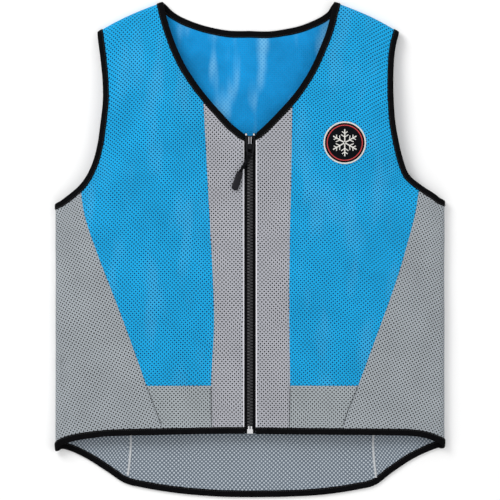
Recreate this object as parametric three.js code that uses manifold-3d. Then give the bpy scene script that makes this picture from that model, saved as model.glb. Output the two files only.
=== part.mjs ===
// A cooling vest lying on its back, zip up. Millimetres, +X to the right, +Y towards the neck, +Z up.
// The origin is under the middle of the outline, on the surface that the vest rests on.
import * as THREE from 'three';
import { mergeVertices } from 'three/addons/utils/BufferGeometryUtils.js';
import Module from 'manifold-3d';

const wasm = await Module();
wasm.setup();

// Driving sizes of the garment, laid flat
const chestWidth = 560; // between the two side folds
const bodyLength = 713; // neck points to the lower edge of the tail
const frontLength = 621; // neck points to the hem beside the zip
const sideLength = 641; // neck points to the hem at the side folds
const chestPanelLength = 552; // neck points to the lower edge of the blue panels
const shoulderWidth = 434; // between the outer ends of the shoulders
const shoulderDrop = 43.5; // neck point down to the outer end of the shoulder
const shoulderBow = 3; // how far the shoulder line stands out from straight
const neckWidth = 252; // between the neck points
const frontNeckDepth = 189; // neck points to the lower end of the V
const backNeckDepth = 42;
const armholeDepth = 251; // outer end of the shoulder to the underarm
const armholeInset = 72; // how far the armhole cuts in from the side fold
const underarmDip = 4; // how much lower the armhole is on the side fold than beside it
const hemDip = 6; // the same for the hem
const placketWidth = 56; // zip centre to the seam of the placket
const sidePanelTop = 36; // side fold to the front seam at the armhole
const sidePanelHem = 154; // side fold to the front seam at the hem
const backSeamTop = 36; // side fold to the back seam at the armhole
const backSeamHem = 100; // side fold to the back seam at the hem

// Cloth, tape and how high the layers lie
const clothWall = 2;
const tapeWall = 1;
const clearance = 0.3; // between pieces that touch
const bindingRoom = 0.5; // between the cloth and the tape folded over it
const bindingWidth = 9.4; // at the neck and the hem
const armholeBindingWidth = 8.6;
const layerGap = 13; // between the inner faces of front and back
const chestLoft = 9; // how far the chest stands above the folds
const hemLoft = 3; // and the hem
const loftRun = 105; // from a fold to the full height of the loft
const zipFlat = 34; // half width of the flat strip that carries the zip
const edgeLift = 1.6; // bound edges of the back are carried this high by the tape under them
const edgeLiftRun = 60;
const foldWidth = 26;
const foldRise = 3;

// Zip
const zipOpening = 16.6; // visible width between the plackets
const tapeUnderPlacket = 7.2; // how far a tape runs in under its placket
const zipTapeWall = 0.8;
const chainWidth = 8.3; // both chains together
const chainThickness = 3;
const toothPitch = 4.4;
const toothReach = 1.2; // how far a tooth crosses the middle of the zip
const boxLength = 10.8;
const boxThickness = 4;
const stopWidth = 2.4;
const stopLength = 3;
const stopThickness = 1.4;
const tapeAboveSlider = 4.2;

// Slider and pull
const sliderLength = 23.6;
const sliderWidth = 14;
const sliderMouth = 12; // width of the slider's lower end
const sliderBelowNeck = 3.7; // end of the V to the slider
const sliderPlate = 1.3;
const wedgeWidth = 5;
const wedgeLength = 7;
const crownWidth = 5;
const crownLength = 14;
const crownWall = 1.4;
const linkWire = 1.6;
const linkFromTop = 12; // slider's upper end to the link's bar
const cordThickness = 2.4;
const gripAcross = 14.2; // middle of the zip to the upper end of the grip
const gripBelow = 52; // slider's upper end to the upper end of the grip
const gripLean = 18; // degrees
const gripLength = 27.6;
const gripWidth = 9.2;
const gripThickness = 5.4;

// Badge
const patchDiameter = 62;
const patchThickness = 1.2;
const patchFromZip = 136;
const patchBelowNeck = 203;

const half = chestWidth / 2;
const topY = bodyLength / 2;
const foldHeight = layerGap + 2 * clothWall;
const bindingEdge = tapeWall + bindingRoom;
const seamHalf = clearance / 2;
const sides = { left: -1, right: 1 };

// Where the shoulders end, as shares of half neckWidth and half shoulderWidth
const shoulderRows = [
  { end: 'neck', left: 0.994, right: 0.963 },
  { end: 'arm', left: 1.012, right: 0.989 },
];

// Finished neck edge below the shoulder fold: down is a share of frontNeckDepth, the others of half
// neckWidth
const neckRows = [
  { down: 0.12, left: 0.954, right: 0.917 },
  { down: 0.24, left: 0.898, right: 0.866 },
  { down: 0.36, left: 0.83, right: 0.794 },
  { down: 0.48, left: 0.744, right: 0.714 },
  { down: 0.6, left: 0.63, right: 0.612 },
  { down: 0.72, left: 0.494, right: 0.482 },
  { down: 0.84, left: 0.337, right: 0.319 },
  { down: 0.94, left: 0.194, right: 0.171 },
  { down: 1.04, left: 0.0, right: 0.0 },
];

// Back neck edge: across is a share of half neckWidth, the others of backNeckDepth
const backNeckRows = [
  { across: 0.88, left: 0.33, right: 0.36 },
  { across: 0.77, left: 0.53, right: 0.57 },
  { across: 0.585, left: 0.75, right: 0.8 },
  { across: 0.41, left: 0.89, right: 0.92 },
  { across: 0.215, left: 0.98, right: 1.0 },
  { across: 0.0, left: 0.985, right: 0.985 },
];

// Finished armhole edge below the shoulder fold: down is a share of armholeDepth, the others of
// armholeInset, in from the side fold
const armholeRows = [
  { down: 0.07, left: 0.868, right: 0.974 },
  { down: 0.15, left: 0.904, right: 1.013 },
  { down: 0.28, left: 0.949, right: 1.032 },
  { down: 0.4, left: 0.954, right: 1.023 },
  { down: 0.52, left: 0.908, right: 0.99 },
  { down: 0.64, left: 0.85, right: 0.915 },
  { down: 0.74, left: 0.76, right: 0.827 },
  { down: 0.82, left: 0.634, right: 0.708 },
  { down: 0.88, left: 0.481, right: 0.458 },
  { down: 0.93, left: 0.282, right: 0.19 },
  { down: 0.97, left: 0.1, right: 0.04 },
  { down: 1.0, left: -0.02, right: -0.02 },
];

// Seam between blue and grey at the side: down is a share of the seam's height, the others of the way
// from sidePanelTop to sidePanelHem
const sideSeamRows = [
  { down: 0.0, left: 0.0, right: 0.0 },
  { down: 0.12, left: 0.055, right: 0.061 },
  { down: 0.26, left: 0.194, right: 0.172 },
  { down: 0.4, left: 0.357, right: 0.302 },
  { down: 0.55, left: 0.531, right: 0.465 },
  { down: 0.7, left: 0.695, right: 0.631 },
  { down: 0.81, left: 0.812, right: 0.754 },
  { down: 0.9, left: 0.913, right: 0.866 },
  { down: 1.0, left: 1.03, right: 0.97 },
];

// Seam between placket and blue panel: down is a share of the seam's height, the others of placketWidth
const placketSeamRows = [
  { down: 0.0, left: 1.21, right: 1.09 },
  { down: 0.14, left: 1.137, right: 1.07 },
  { down: 0.28, left: 1.076, right: 1.05 },
  { down: 0.42, left: 1.009, right: 1.022 },
  { down: 0.56, left: 0.947, right: 1.011 },
  { down: 0.7, left: 0.928, right: 1.011 },
  { down: 0.86, left: 0.998, right: 1.03 },
  { down: 1.0, left: 0.98, right: 1.007 },
];

// Finished hem of the front: across is a share of half chestWidth, down of sideLength less frontLength
const frontHemRows = [
  { across: 0.0, left: 0.0, right: 0.0 },
  { across: 0.16, left: 0.0, right: 0.04 },
  { across: 0.45, left: 0.07, right: 0.07 },
  { across: 0.7, left: 0.15, right: 0.1 },
  { across: 0.82, left: 0.32, right: 0.14 },
  { across: 0.9, left: 0.5, right: 0.3 },
  { across: 0.96, left: 0.77, right: 0.6 },
  { across: 1.0, left: 1.0, right: 1.0 },
];

// Finished hem of the tail: across is a share of half chestWidth, down of bodyLength less sideLength
const tailHemRows = [
  { across: 0.0, left: 1.0, right: 1.0 },
  { across: 0.14, left: 0.992, right: 0.996 },
  { across: 0.3, left: 0.95, right: 0.972 },
  { across: 0.42, left: 0.895, right: 0.93 },
  { across: 0.55, left: 0.81, right: 0.85 },
  { across: 0.645, left: 0.715, right: 0.755 },
  { across: 0.73, left: 0.5, right: 0.51 },
  { across: 0.83, left: 0.25, right: 0.25 },
  { across: 0.92, left: 0.08, right: 0.08 },
  { across: 1.0, left: 0.0, right: 0.0 },
];

// Folds of the front: across is a share of half chestWidth, down of bodyLength, wide of foldWidth,
// rise of foldRise
const frontFolds = [
  { fromAcross: -0.94, fromDown: 0.7, toAcross: -0.96, toDown: 0.84, wide: 0.8, rise: -0.8 },
  { fromAcross: -0.86, fromDown: 0.66, toAcross: -0.93, toDown: 0.9, wide: 0.8, rise: 0.9 },
  { fromAcross: -0.62, fromDown: 0.15, toAcross: -0.66, toDown: 0.27, wide: 1.2, rise: -0.9 },
  { fromAcross: -0.7, fromDown: 0.32, toAcross: -0.74, toDown: 0.42, wide: 0.9, rise: 0.8 },
  { fromAcross: -0.36, fromDown: 0.2, toAcross: -0.28, toDown: 0.3, wide: 0.9, rise: 0.7 },
  { fromAcross: -0.55, fromDown: 0.52, toAcross: -0.4, toDown: 0.66, wide: 1.5, rise: 0.6 },
  { fromAcross: 0.7, fromDown: 0.29, toAcross: 0.74, toDown: 0.42, wide: 1.0, rise: -0.9 },
  { fromAcross: 0.5, fromDown: 0.5, toAcross: 0.62, toDown: 0.66, wide: 1.5, rise: 0.6 },
  { fromAcross: 0.86, fromDown: 0.6, toAcross: 0.78, toDown: 0.86, wide: 1.0, rise: 0.7 },
];

// Seam of the back at the side: down is a share of the seam's height, inwards of the way from
// backSeamTop to backSeamHem
const backSeamRows = [
  { down: 0.0, inwards: 0.0 },
  { down: 0.3, inwards: 0.45 },
  { down: 0.6, inwards: 0.88 },
  { down: 0.84, inwards: 1.08 },
  { down: 1.0, inwards: 1.0 },
];

// How many rows and columns the panels have
const foldSteps = 3; // a quarter turn of a fold
const armholeSteps = 9;
const seamSteps = 9;
const insertSteps = 3;
const neckSteps = 5;
const placketSteps = 3;
const shoulderSteps = 6;
const sidePanelSteps = 4;
const underSteps = 4;
const backNeckSteps = 8;

const flat = (x, y) => new THREE.Vector2(x, y);
const depthY = (down) => topY - down;

const neckPlace = (row, name, side) =>
  flat((side * row[name] * neckWidth) / 2, depthY(row.down * frontNeckDepth));
const backNeckPlace = (row, name, side) =>
  flat((side * row.across * neckWidth) / 2, depthY(row[name] * backNeckDepth));
const armholePlace = (row, name, side) =>
  flat(side * (half - row[name] * armholeInset), depthY(shoulderDrop + row.down * armholeDepth));

// The ridge of each shoulder, where front and back meet: the ends of the cloth, the way into the vest, and
// where each edge leaves the fold, along that edge
function shoulderOf(name) {
  const side = sides[name];
  const [neckShare, armShare] = shoulderRows.map((row) => (side * row[name]) / 2);
  const neckPoint = flat(neckShare * neckWidth, depthY(0));
  const outerPoint = flat(armShare * shoulderWidth, depthY(shoulderDrop));
  const along = outerPoint.clone().sub(neckPoint).normalize();
  const inwards = flat(along.y * side, -along.x * side);
  const inner = neckPoint.clone().addScaledVector(along, bindingEdge);
  const outer = outerPoint.clone().addScaledVector(along, -bindingEdge);
  const wayTo = (from, to) => to.sub(from).setLength(foldHeight / 2);
  const neckWay = wayTo(neckPoint, neckPlace(neckRows[0], name, side));
  const backNeckWay = wayTo(neckPoint, backNeckPlace(backNeckRows[0], name, side));
  const armholeWay = wayTo(outerPoint, armholePlace(armholeRows[0], name, side));
  return {
    along, inwards, inner, outer,
    neckStart: inner.clone().add(neckWay), finishedNeckStart: neckPoint.clone().add(neckWay),
    backNeckStart: inner.clone().add(backNeckWay), finishedBackNeckStart: neckPoint.clone().add(backNeckWay),
    armholeStart: outer.clone().add(armholeWay), finishedArmholeStart: outerPoint.clone().add(armholeWay),
  };
}

const shoulders = { left: shoulderOf('left'), right: shoulderOf('right') };

// One curve for each side of the vest from a table of rows, after the point where it leaves the shoulder
function bothSides(rows, place, start) {
  const entries = Object.entries(sides).map(([name, side]) => {
    const points = rows.map((row) => place(row, name, side));
    return [name, new THREE.SplineCurve(start ? [shoulders[name][start], ...points] : points)];
  });
  return Object.fromEntries(entries);
}

// A curve moved by a distance, to its left as it runs
function shifted(curve, distance) {
  const steps = 48;
  const points = [];
  for (let i = 0; i <= steps; i += 1) {
    const at = curve.getPoint(i / steps);
    const along = curve.getTangent(i / steps);
    points.push(flat(at.x - along.y * distance, at.y + along.x * distance));
  }
  return new THREE.SplineCurve(points);
}

// The share of a curve at which a measure has a value, where the measure only rises or only falls
function shareWhere(curve, measure, value) {
  let low = 0;
  let high = 1;
  const rising = measure(curve.getPoint(1)) > measure(curve.getPoint(0));
  for (let i = 0; i < 40; i += 1) {
    const middle = (low + high) / 2;
    if ((measure(curve.getPoint(middle)) < value) === rising) low = middle;
    else high = middle;
  }
  return (low + high) / 2;
}

const wideX = (p) => Math.abs(p.x);

function stretch(curve, from, to, steps) {
  const shares = Array.from({ length: steps + 1 }, (_, i) => THREE.MathUtils.lerp(from, to, i / steps));
  return shares.map((share) => curve.getPoint(share));
}

function straight(from, to, steps) {
  return Array.from({ length: steps + 1 }, (_, i) => from.clone().lerp(to, i / steps));
}

const finishedNeck = bothSides(neckRows, neckPlace, 'finishedNeckStart');
const finishedBackNeck = bothSides(backNeckRows, backNeckPlace, 'finishedBackNeckStart');
const finishedArmhole = bothSides(armholeRows, armholePlace, 'finishedArmholeStart');
const finishedFrontHem = bothSides(frontHemRows, (row, name, side) =>
  flat(side * row.across * half, depthY(frontLength + row[name] * (sideLength - frontLength))));
const finishedTailHem = bothSides(tailHemRows, (row, name, side) =>
  flat(side * row.across * half, depthY(sideLength + row[name] * (bodyLength - sideLength))));

// The cloth ends inside the tape that is folded over it
function clothEdge(finished, turn, start) {
  const entries = Object.entries(sides).map(([name, side]) => {
    const edge = shifted(finished[name], turn * side * bindingEdge);
    if (start) edge.points[0].copy(shoulders[name][start]);
    return [name, edge];
  });
  return Object.fromEntries(entries);
}

const neckEdge = clothEdge(finishedNeck, 1, 'neckStart');
const armholeEdge = clothEdge(finishedArmhole, -1, 'armholeStart');
const backNeck = clothEdge(finishedBackNeck, 1, 'backNeckStart');
const frontHem = clothEdge(finishedFrontHem, 1);
const tailHem = clothEdge(finishedTailHem, 1);

function belowShoulder(p) {
  const { inner, inwards } = p.x < 0 ? shoulders.left : shoulders.right;
  return p.clone().sub(inner).dot(inwards);
}

// How near a point is to a fold: 1 on its line, 0 away from it
function nearFold(p, fold) {
  const from = flat(fold.fromAcross * half, depthY(fold.fromDown * bodyLength));
  const run = flat(fold.toAcross * half, depthY(fold.toDown * bodyLength)).sub(from);
  const at = p.clone().sub(from);
  const share = THREE.MathUtils.clamp(at.dot(run) / run.lengthSq(), 0, 1);
  const away = at.addScaledVector(run, -share).length() / (fold.wide * foldWidth);
  return Math.exp(-away * away);
}

const alongEdges = (edges) => Object.keys(sides).flatMap((name) =>
  edges.flatMap((edge) => edge[name].getPoints(60)));
const frontEdges = alongEdges([neckEdge, armholeEdge, frontHem]);
const backEdges = alongEdges([armholeEdge, tailHem, backNeck]);

const awayFrom = (points, p) => Math.min(...points.map((point) => point.distanceTo(p)));

// Height of the outer face of the front
function frontHeight(p) {
  const { smoothstep, lerp } = THREE.MathUtils;
  const fromSide = half - Math.abs(p.x);
  const fromShoulder = belowShoulder(p);
  const rising = smoothstep(fromSide, 0, loftRun) * smoothstep(fromShoulder, 0, loftRun)
    * smoothstep(Math.abs(p.x), zipFlat, zipFlat + loftRun);
  const low = smoothstep(topY - p.y, chestPanelLength / 2, frontLength);
  const calm = smoothstep(fromShoulder, 0, foldWidth)
    * smoothstep(Math.abs(p.x), zipFlat, zipFlat + foldWidth)
    * smoothstep(awayFrom(frontEdges, p), 2 * bindingWidth, 2 * bindingWidth + foldWidth);
  const folds = frontFolds.reduce((sum, fold) => sum + fold.rise * nearFold(p, fold), 0);
  return foldHeight + lerp(chestLoft, hemLoft, low) * rising + calm * foldRise * folds;
}

// Height of the outer face of the back: on the surface, but on the tape along its bound edges
function backHeight(p) {
  const { smoothstep } = THREE.MathUtils;
  const start = 2 * bindingWidth;
  return edgeLift * (1 - smoothstep(awayFrom(backEdges, p), start, start + edgeLiftRun));
}

// Plan of a four-sided panel from its edges: top and bottom run across, first and last run down
function patch({ top, bottom, first, last }) {
  const columns = top.length - 1;
  const rows = first.length - 1;
  return first.map((_, r) => top.map((__, c) => {
    const u = c / columns;
    const v = r / rows;
    const across = top[c].clone().multiplyScalar(1 - v).addScaledVector(bottom[c], v);
    const down = first[r].clone().multiplyScalar(1 - u).addScaledVector(last[r], u);
    const corners = top[0].clone().multiplyScalar((1 - u) * (1 - v))
      .addScaledVector(top[columns], u * (1 - v))
      .addScaledVector(bottom[0], (1 - u) * v)
      .addScaledVector(bottom[columns], u * v);
    return across.add(down).sub(corners);
  }));
}

const raised = (rows, height) => rows.map((row) => row.map((p) => new THREE.Vector3(p.x, p.y, height(p))));

// The rows of a shoulder fold: from the ridge, at half the height, to the line where the panel starts
function shoulderFold(name, line, height) {
  const { inner, outer, inwards } = shoulders[name];
  const last = line.length - 1;
  return Array.from({ length: foldSteps }, (_, step) => {
    const angle = (Math.PI / 2) * (step / foldSteps);
    return line.map((p, i) => {
      const bow = 4 * (i / last) * (1 - i / last) * shoulderBow;
      const ridge = inner.clone().lerp(outer, i / last).addScaledVector(inwards, -bow);
      const at = ridge.lerp(p, 1 - Math.cos(angle));
      const level = THREE.MathUtils.lerp(foldHeight / 2, height(p), Math.sin(angle));
      return new THREE.Vector3(at.x, at.y, level);
    });
  });
}

// The line below the fold, from the neck to the armhole
function shoulderStart(name, start) {
  const { armholeStart, inwards } = shoulders[name];
  const bow = (i) => 4 * (i / shoulderSteps) * (1 - i / shoulderSteps) * shoulderBow;
  return straight(start, armholeStart, shoulderSteps).map((p, i) => p.addScaledVector(inwards, -bow(i)));
}

// The armhole edge runs out to the side: its share, in its lower part, at a distance from the middle
function shareBeyond(armhole, x) {
  let low = 0.5;
  let high = 1;
  for (let i = 0; i < 40; i += 1) {
    const middle = (low + high) / 2;
    if (wideX(armhole.getPoint(middle)) < x) low = middle;
    else high = middle;
  }
  return (low + high) / 2;
}

// The points of a seam, in its part beside the blue panel and its part below
function seamPoints(points) {
  const seam = new THREE.SplineCurve(points);
  const split = shareWhere(seam, (p) => -p.y, -depthY(chestPanelLength));
  const lower = stretch(seam, split, 1, insertSteps).slice(1);
  return (upperSteps) => [...stretch(seam, 0, split, upperSteps), ...lower];
}

// Plans of the panels of one half of the vest; columns run from the zip outwards and rows down
function halfOf(name) {
  const side = sides[name];
  const fold = half - foldHeight / 2;
  const neck = neckEdge[name];
  const armhole = armholeEdge[name];
  const hem = frontHem[name];
  const tail = tailHem[name];
  const sideX = (row) => half - THREE.MathUtils.lerp(sidePanelTop, sidePanelHem, row[name]);
  const backX = (row) => half - THREE.MathUtils.lerp(backSeamTop, backSeamHem, row.inwards);
  const placketX = (row) => placketWidth * row[name];
  const share = {
    neckSeam: shareWhere(neck, wideX, placketX(placketSeamRows[0])),
    neckZip: shareWhere(neck, wideX, zipOpening / 2),
    armholeSeam: shareBeyond(armhole, sideX(sideSeamRows[0])),
    armholeFold: shareBeyond(armhole, fold),
    armholeBack: shareBeyond(armhole, backX(backSeamRows[0])),
    hemZip: shareWhere(hem, wideX, zipOpening / 2),
    hemSeam: shareWhere(hem, wideX, placketX(placketSeamRows.at(-1))),
    hemSide: shareWhere(hem, wideX, sideX(sideSeamRows.at(-1))),
    hemFold: shareWhere(hem, wideX, fold),
    tailFold: shareWhere(tail, wideX, fold),
    tailSeam: shareWhere(tail, wideX, backX(backSeamRows.at(-1))),
  };
  const between = (rows, x, top, bottom) => rows.map((row) =>
    flat(side * x(row), THREE.MathUtils.lerp(top.y, bottom.y, row.down)));
  const placketSeam = seamPoints(between(
    placketSeamRows, placketX, neck.getPoint(share.neckSeam), hem.getPoint(share.hemSeam)));
  const sideSeam = seamPoints(between(
    sideSeamRows, sideX, armhole.getPoint(share.armholeSeam), hem.getPoint(share.hemSide)));
  const backSeam = seamPoints(between(
    backSeamRows, backX, armhole.getPoint(share.armholeBack), tail.getPoint(share.tailSeam)));

  const upperSteps = armholeSteps + seamSteps - neckSteps;
  const placketLine = placketSeam(upperSteps);
  const sideLine = sideSeam(seamSteps);
  const backLine = backSeam(seamSteps);
  const rows = sideLine.length - 1;
  const chestLow = straight(placketLine[upperSteps], sideLine[seamSteps], shoulderSteps);
  const shoulderLow = shoulderStart(name, shoulders[name].neckStart);
  const shoulderLowBack = shoulderStart(name, shoulders[name].backNeckStart);

  const placket = patch({
    top: stretch(neck, share.neckZip, share.neckSeam, placketSteps),
    bottom: stretch(hem, share.hemZip, share.hemSeam, placketSteps),
    first: straight(neck.getPoint(share.neckZip), hem.getPoint(share.hemZip), placketLine.length - 1),
    last: placketLine,
  });
  const chest = patch({
    top: shoulderLow,
    bottom: chestLow,
    first: [...stretch(neck, 0, share.neckSeam, neckSteps),
      ...placketLine.slice(1, upperSteps + 1)],
    last: [...stretch(armhole, 0, share.armholeSeam, armholeSteps),
      ...sideLine.slice(1, seamSteps + 1)],
  });
  const insert = patch({
    top: chestLow,
    bottom: stretch(hem, share.hemSeam, share.hemSide, shoulderSteps),
    first: placketLine.slice(upperSteps),
    last: sideLine.slice(seamSteps),
  });
  const sideFront = patch({
    top: stretch(armhole, share.armholeSeam, share.armholeFold, sidePanelSteps),
    bottom: stretch(hem, share.hemSide, share.hemFold, sidePanelSteps),
    first: sideLine,
    last: straight(armhole.getPoint(share.armholeFold), hem.getPoint(share.hemFold), rows),
  });
  const sideUnder = patch({
    top: stretch(armhole, share.armholeFold, share.armholeBack, underSteps),
    bottom: stretch(tail, share.tailFold, share.tailSeam, underSteps),
    first: straight(armhole.getPoint(share.armholeFold), tail.getPoint(share.tailFold), rows),
    last: backLine,
  });
  const fromFold = raised(sideFront, frontHeight);
  const toFold = raised(sideUnder, backHeight);
  const dips = sideLine.map((_, r) => THREE.MathUtils.lerp(underarmDip, hemDip, r / rows));
  return {
    placket: raised(placket, frontHeight),
    chest: [...shoulderFold(name, shoulderLow, frontHeight), ...raised(chest, frontHeight)],
    insert: raised(insert, frontHeight),
    side: fromFold.map((row, r) => [
      ...row, ...sideFold(side, row.at(-1), toFold[r][0], dips[r]), ...toFold[r]]),
    backShoulder: [
      ...shoulderFold(name, shoulderLowBack, backHeight), ...raised([shoulderLowBack], backHeight)],
    backTop: [...shoulderLowBack].reverse(),
    backNeck: stretch(backNeck[name], 0, 1, backNeckSteps / 2),
    backEdge: [...stretch(armhole, 0, share.armholeBack, armholeSteps),
      ...backLine.slice(1, seamSteps + 1)],
    tailEdge: backLine.slice(seamSteps),
    tailLow: stretch(tail, share.tailSeam, 0, shoulderSteps + backNeckSteps / 2),
  };
}

// One row of the side fold, between the front and the part that lies under it
function sideFold(side, from, to, dip) {
  return Array.from({ length: 2 * foldSteps - 1 }, (_, i) => {
    const angle = (Math.PI * (i + 1)) / (2 * foldSteps);
    const share = (1 - Math.cos(angle)) / 2;
    const level = THREE.MathUtils.lerp(from.z, to.z, share);
    const along = THREE.MathUtils.lerp(from.y, to.y, share);
    const out = side * (foldHeight / 2) * Math.sin(angle);
    return new THREE.Vector3(from.x + out, along - dip * Math.sin(angle), level);
  });
}

const halves = { left: halfOf('left'), right: halfOf('right') };
const backSteps = 2 * shoulderSteps + backNeckSteps;
const backLow = straight(halves.left.backEdge.at(-1), halves.right.backEdge.at(-1), backSteps);
const backMain = raised(patch({
  top: [
    ...halves.left.backTop,
    ...halves.left.backNeck.slice(1),
    ...[...halves.right.backNeck].reverse().slice(1),
    ...[...halves.right.backTop].reverse().slice(1),
  ],
  bottom: backLow,
  first: halves.left.backEdge,
  last: halves.right.backEdge,
}), backHeight);
const tailMain = raised(patch({
  top: backLow,
  bottom: [...halves.left.tailLow, ...[...halves.right.tailLow].reverse().slice(1)],
  first: halves.left.tailEdge,
  last: halves.right.tailEdge,
}), backHeight);

const keyOf = (point) => point.toArray().map((n) => n.toFixed(3)).join(' ');

// A sheet of cloth: the points of its outer face, with their normals, and its four-cornered faces
class Sheet {
  constructor() {
    this.points = [];
    this.normals = [];
    this.faces = [];
    this.known = new Map();
  }

  index(point, normal) {
    const key = keyOf(point);
    if (!this.known.has(key)) {
      this.known.set(key, this.points.length);
      this.points.push(point);
      this.normals.push(normal ?? new THREE.Vector3());
    }
    return this.known.get(key);
  }

  add(grid, turned, normals) {
    for (let r = 0; r + 1 < grid.length; r += 1) {
      for (let c = 0; c + 1 < grid[r].length; c += 1) {
        const corners = [[r, c], [r + 1, c], [r + 1, c + 1], [r, c + 1]];
        const face = corners.map(([i, j]) => this.index(grid[i][j], normals?.[i][j]));
        this.faces.push(turned ? face.reverse() : face);
      }
    }
    return this;
  }

  findNormals() {
    for (const [a, b, c, d] of this.faces) {
      const across = this.points[c].clone().sub(this.points[a]);
      const face = across.cross(this.points[d].clone().sub(this.points[b]));
      for (const corner of [a, b, c, d]) this.normals[corner].add(face);
    }
    this.normals.forEach((normal) => normal.normalize());
    return this;
  }

  normalAt(point) {
    return this.normals[this.known.get(keyOf(point))];
  }
}

// The whole garment as one sheet, so that panels and bindings agree about its normals at every seam
const garment = new Sheet().add(backMain, true).add(tailMain, true);
for (const [name, side] of Object.entries(sides)) {
  const { placket, chest, insert, side: sidePanel, backShoulder } = halves[name];
  const turned = side < 0;
  garment.add(placket, turned).add(chest, turned).add(insert, turned).add(sidePanel, turned);
  garment.add(backShoulder, !turned);
}
garment.findNormals();

function solid(positions, indices) {
  const geometry = new THREE.BufferGeometry();
  const numbers = positions.flatMap((p) => p.toArray());
  geometry.setAttribute('position', new THREE.Float32BufferAttribute(numbers, 3));
  geometry.setIndex(indices);
  geometry.computeVertexNormals();
  return geometry;
}

// A grid whose seams are drawn in by half of the clearance, each towards the row beside it. Seams along
// the first and last column start at the row that is given for them.
function drawnIn(grid, { top = false, bottom = false, first = Infinity, last = Infinity }) {
  const rows = grid.length - 1;
  const columns = grid[0].length - 1;
  return grid.map((row, r) => row.map((p, c) => {
    const beside = [];
    if (top && r === 0) beside.push(grid[1][c]);
    if (bottom && r === rows) beside.push(grid[rows - 1][c]);
    if (r >= first && c === 0) beside.push(row[1]);
    if (r >= last && c === columns) beside.push(row[columns - 1]);
    const moved = p.clone();
    for (const q of beside) moved.addScaledVector(q.clone().sub(p).normalize(), seamHalf);
    return moved;
  }));
}

// A panel with its wall: the outer face, the inner face and the rim between them
function clothPanel(parts) {
  const sheet = new Sheet();
  for (const { grid, turned, seams } of parts) {
    const normals = grid.map((row) => row.map((p) => garment.normalAt(p)));
    sheet.add(drawnIn(grid, seams), turned, normals);
  }
  const count = sheet.points.length;
  const inner = sheet.points.map((p, i) => p.clone().addScaledVector(sheet.normals[i], -clothWall));
  const indices = [];
  const edges = new Map();
  for (const [a, b, c, d] of sheet.faces) {
    indices.push(a, b, c, a, c, d);
    indices.push(a + count, c + count, b + count, a + count, d + count, c + count);
    for (const [from, to] of [[a, b], [b, c], [c, d], [d, a]]) edges.set(`${from} ${to}`, [from, to]);
  }
  for (const [from, to] of edges.values()) {
    if (!edges.has(`${to} ${from}`)) indices.push(to, from, from + count, to, from + count, to + count);
  }
  return solid([...sheet.points, ...inner], indices);
}

// The section of a binding: a is the way into the cloth from its edge, b stands out from its outer face
function bindingSection(width) {
  const over = bindingEdge;
  const into = width - over;
  return [
    [-over, over], [into, over], [into, bindingRoom], [-bindingRoom, bindingRoom],
    [-bindingRoom, -clothWall - bindingRoom], [into, -clothWall - bindingRoom],
    [into, -clothWall - over], [-over, -clothWall - over],
  ];
}

// A folded tape along points of the garment's edge. turn says on which side of its way the cloth lies, and
// a point on a fold has the way into the cloth with it, which is along the fold.
function binding(path, turn, { width = bindingWidth, closed = false } = {}) {
  const stations = path.filter((p, i) => i === 0 || p.at.distanceTo(path[i - 1].at) > clearance);
  if (closed && stations[0].at.distanceTo(stations.at(-1).at) < clearance) stations.pop();
  const section = bindingSection(width);
  const count = stations.length;
  const positions = stations.flatMap(({ at, into }, i) => {
    const before = closed ? stations[(i + count - 1) % count] : stations[Math.max(i - 1, 0)];
    const after = closed ? stations[(i + 1) % count] : stations[Math.min(i + 1, count - 1)];
    const normal = garment.normalAt(at);
    const along = after.at.clone().sub(before.at);
    const inwards = into ? into.clone() : normal.clone().cross(along).multiplyScalar(turn);
    inwards.addScaledVector(normal, -inwards.dot(normal)).normalize();
    return section.map(([a, b]) => at.clone().addScaledVector(inwards, a).addScaledVector(normal, b));
  });
  const corners = section.length;
  const indices = [];
  for (let i = 0; i < (closed ? count : count - 1); i += 1) {
    const here = i * corners;
    const next = ((i + 1) % count) * corners;
    for (let k = 0; k < corners; k += 1) {
      const l = (k + 1) % corners;
      indices.push(here + k, next + k, next + l, here + k, next + l, here + l);
    }
  }
  if (!closed) {
    const end = (count - 1) * corners;
    for (const [a, b, c, d] of [[0, 1, 2, 3], [0, 3, 4, 7], [4, 5, 6, 7]]) {
      indices.push(a, b, c, a, c, d);
      indices.push(end + a, end + c, end + b, end + a, end + d, end + c);
    }
  }
  return facingOut(positions, indices);
}

// Turns a closed mesh so that its faces point outwards
function facingOut(positions, indices) {
  let volume = 0;
  for (let i = 0; i < indices.length; i += 3) {
    const [a, b, c] = [0, 1, 2].map((k) => positions[indices[i + k]]);
    volume += a.dot(b.clone().cross(c));
  }
  return solid(positions, volume < 0 ? [...indices].reverse() : indices);
}

// Finishes: colour, roughness, metalness
function finish(color, roughness, metalness = 0) {
  return () => new THREE.MeshStandardMaterial({ color, roughness, metalness });
}

const blueMesh = finish(0x1f9de0, 0.8);
const greyMesh = finish(0xa4a9b1, 0.85);
const tapeBlack = finish(0x1b1b1d, 0.9);
const mouldedBlack = finish(0x242426, 0.5);
const brightMetal = finish(0xd8d8da, 0.25, 1);
const darkMetal = finish(0x3c3c40, 0.35, 1);
const gripGrey = finish(0x3a383e, 0.6);
const patchCloth = finish(0x15171c, 0.85);

const vest = new THREE.Group();

function piece(name, geometry, material) {
  const mesh = new THREE.Mesh(geometry, material());
  mesh.name = name;
  vest.add(mesh);
  return mesh;
}

const column = (grid, c, from = 0, to = grid.length - 1) => grid.slice(from, to + 1).map((row) => row.at(c));

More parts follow.
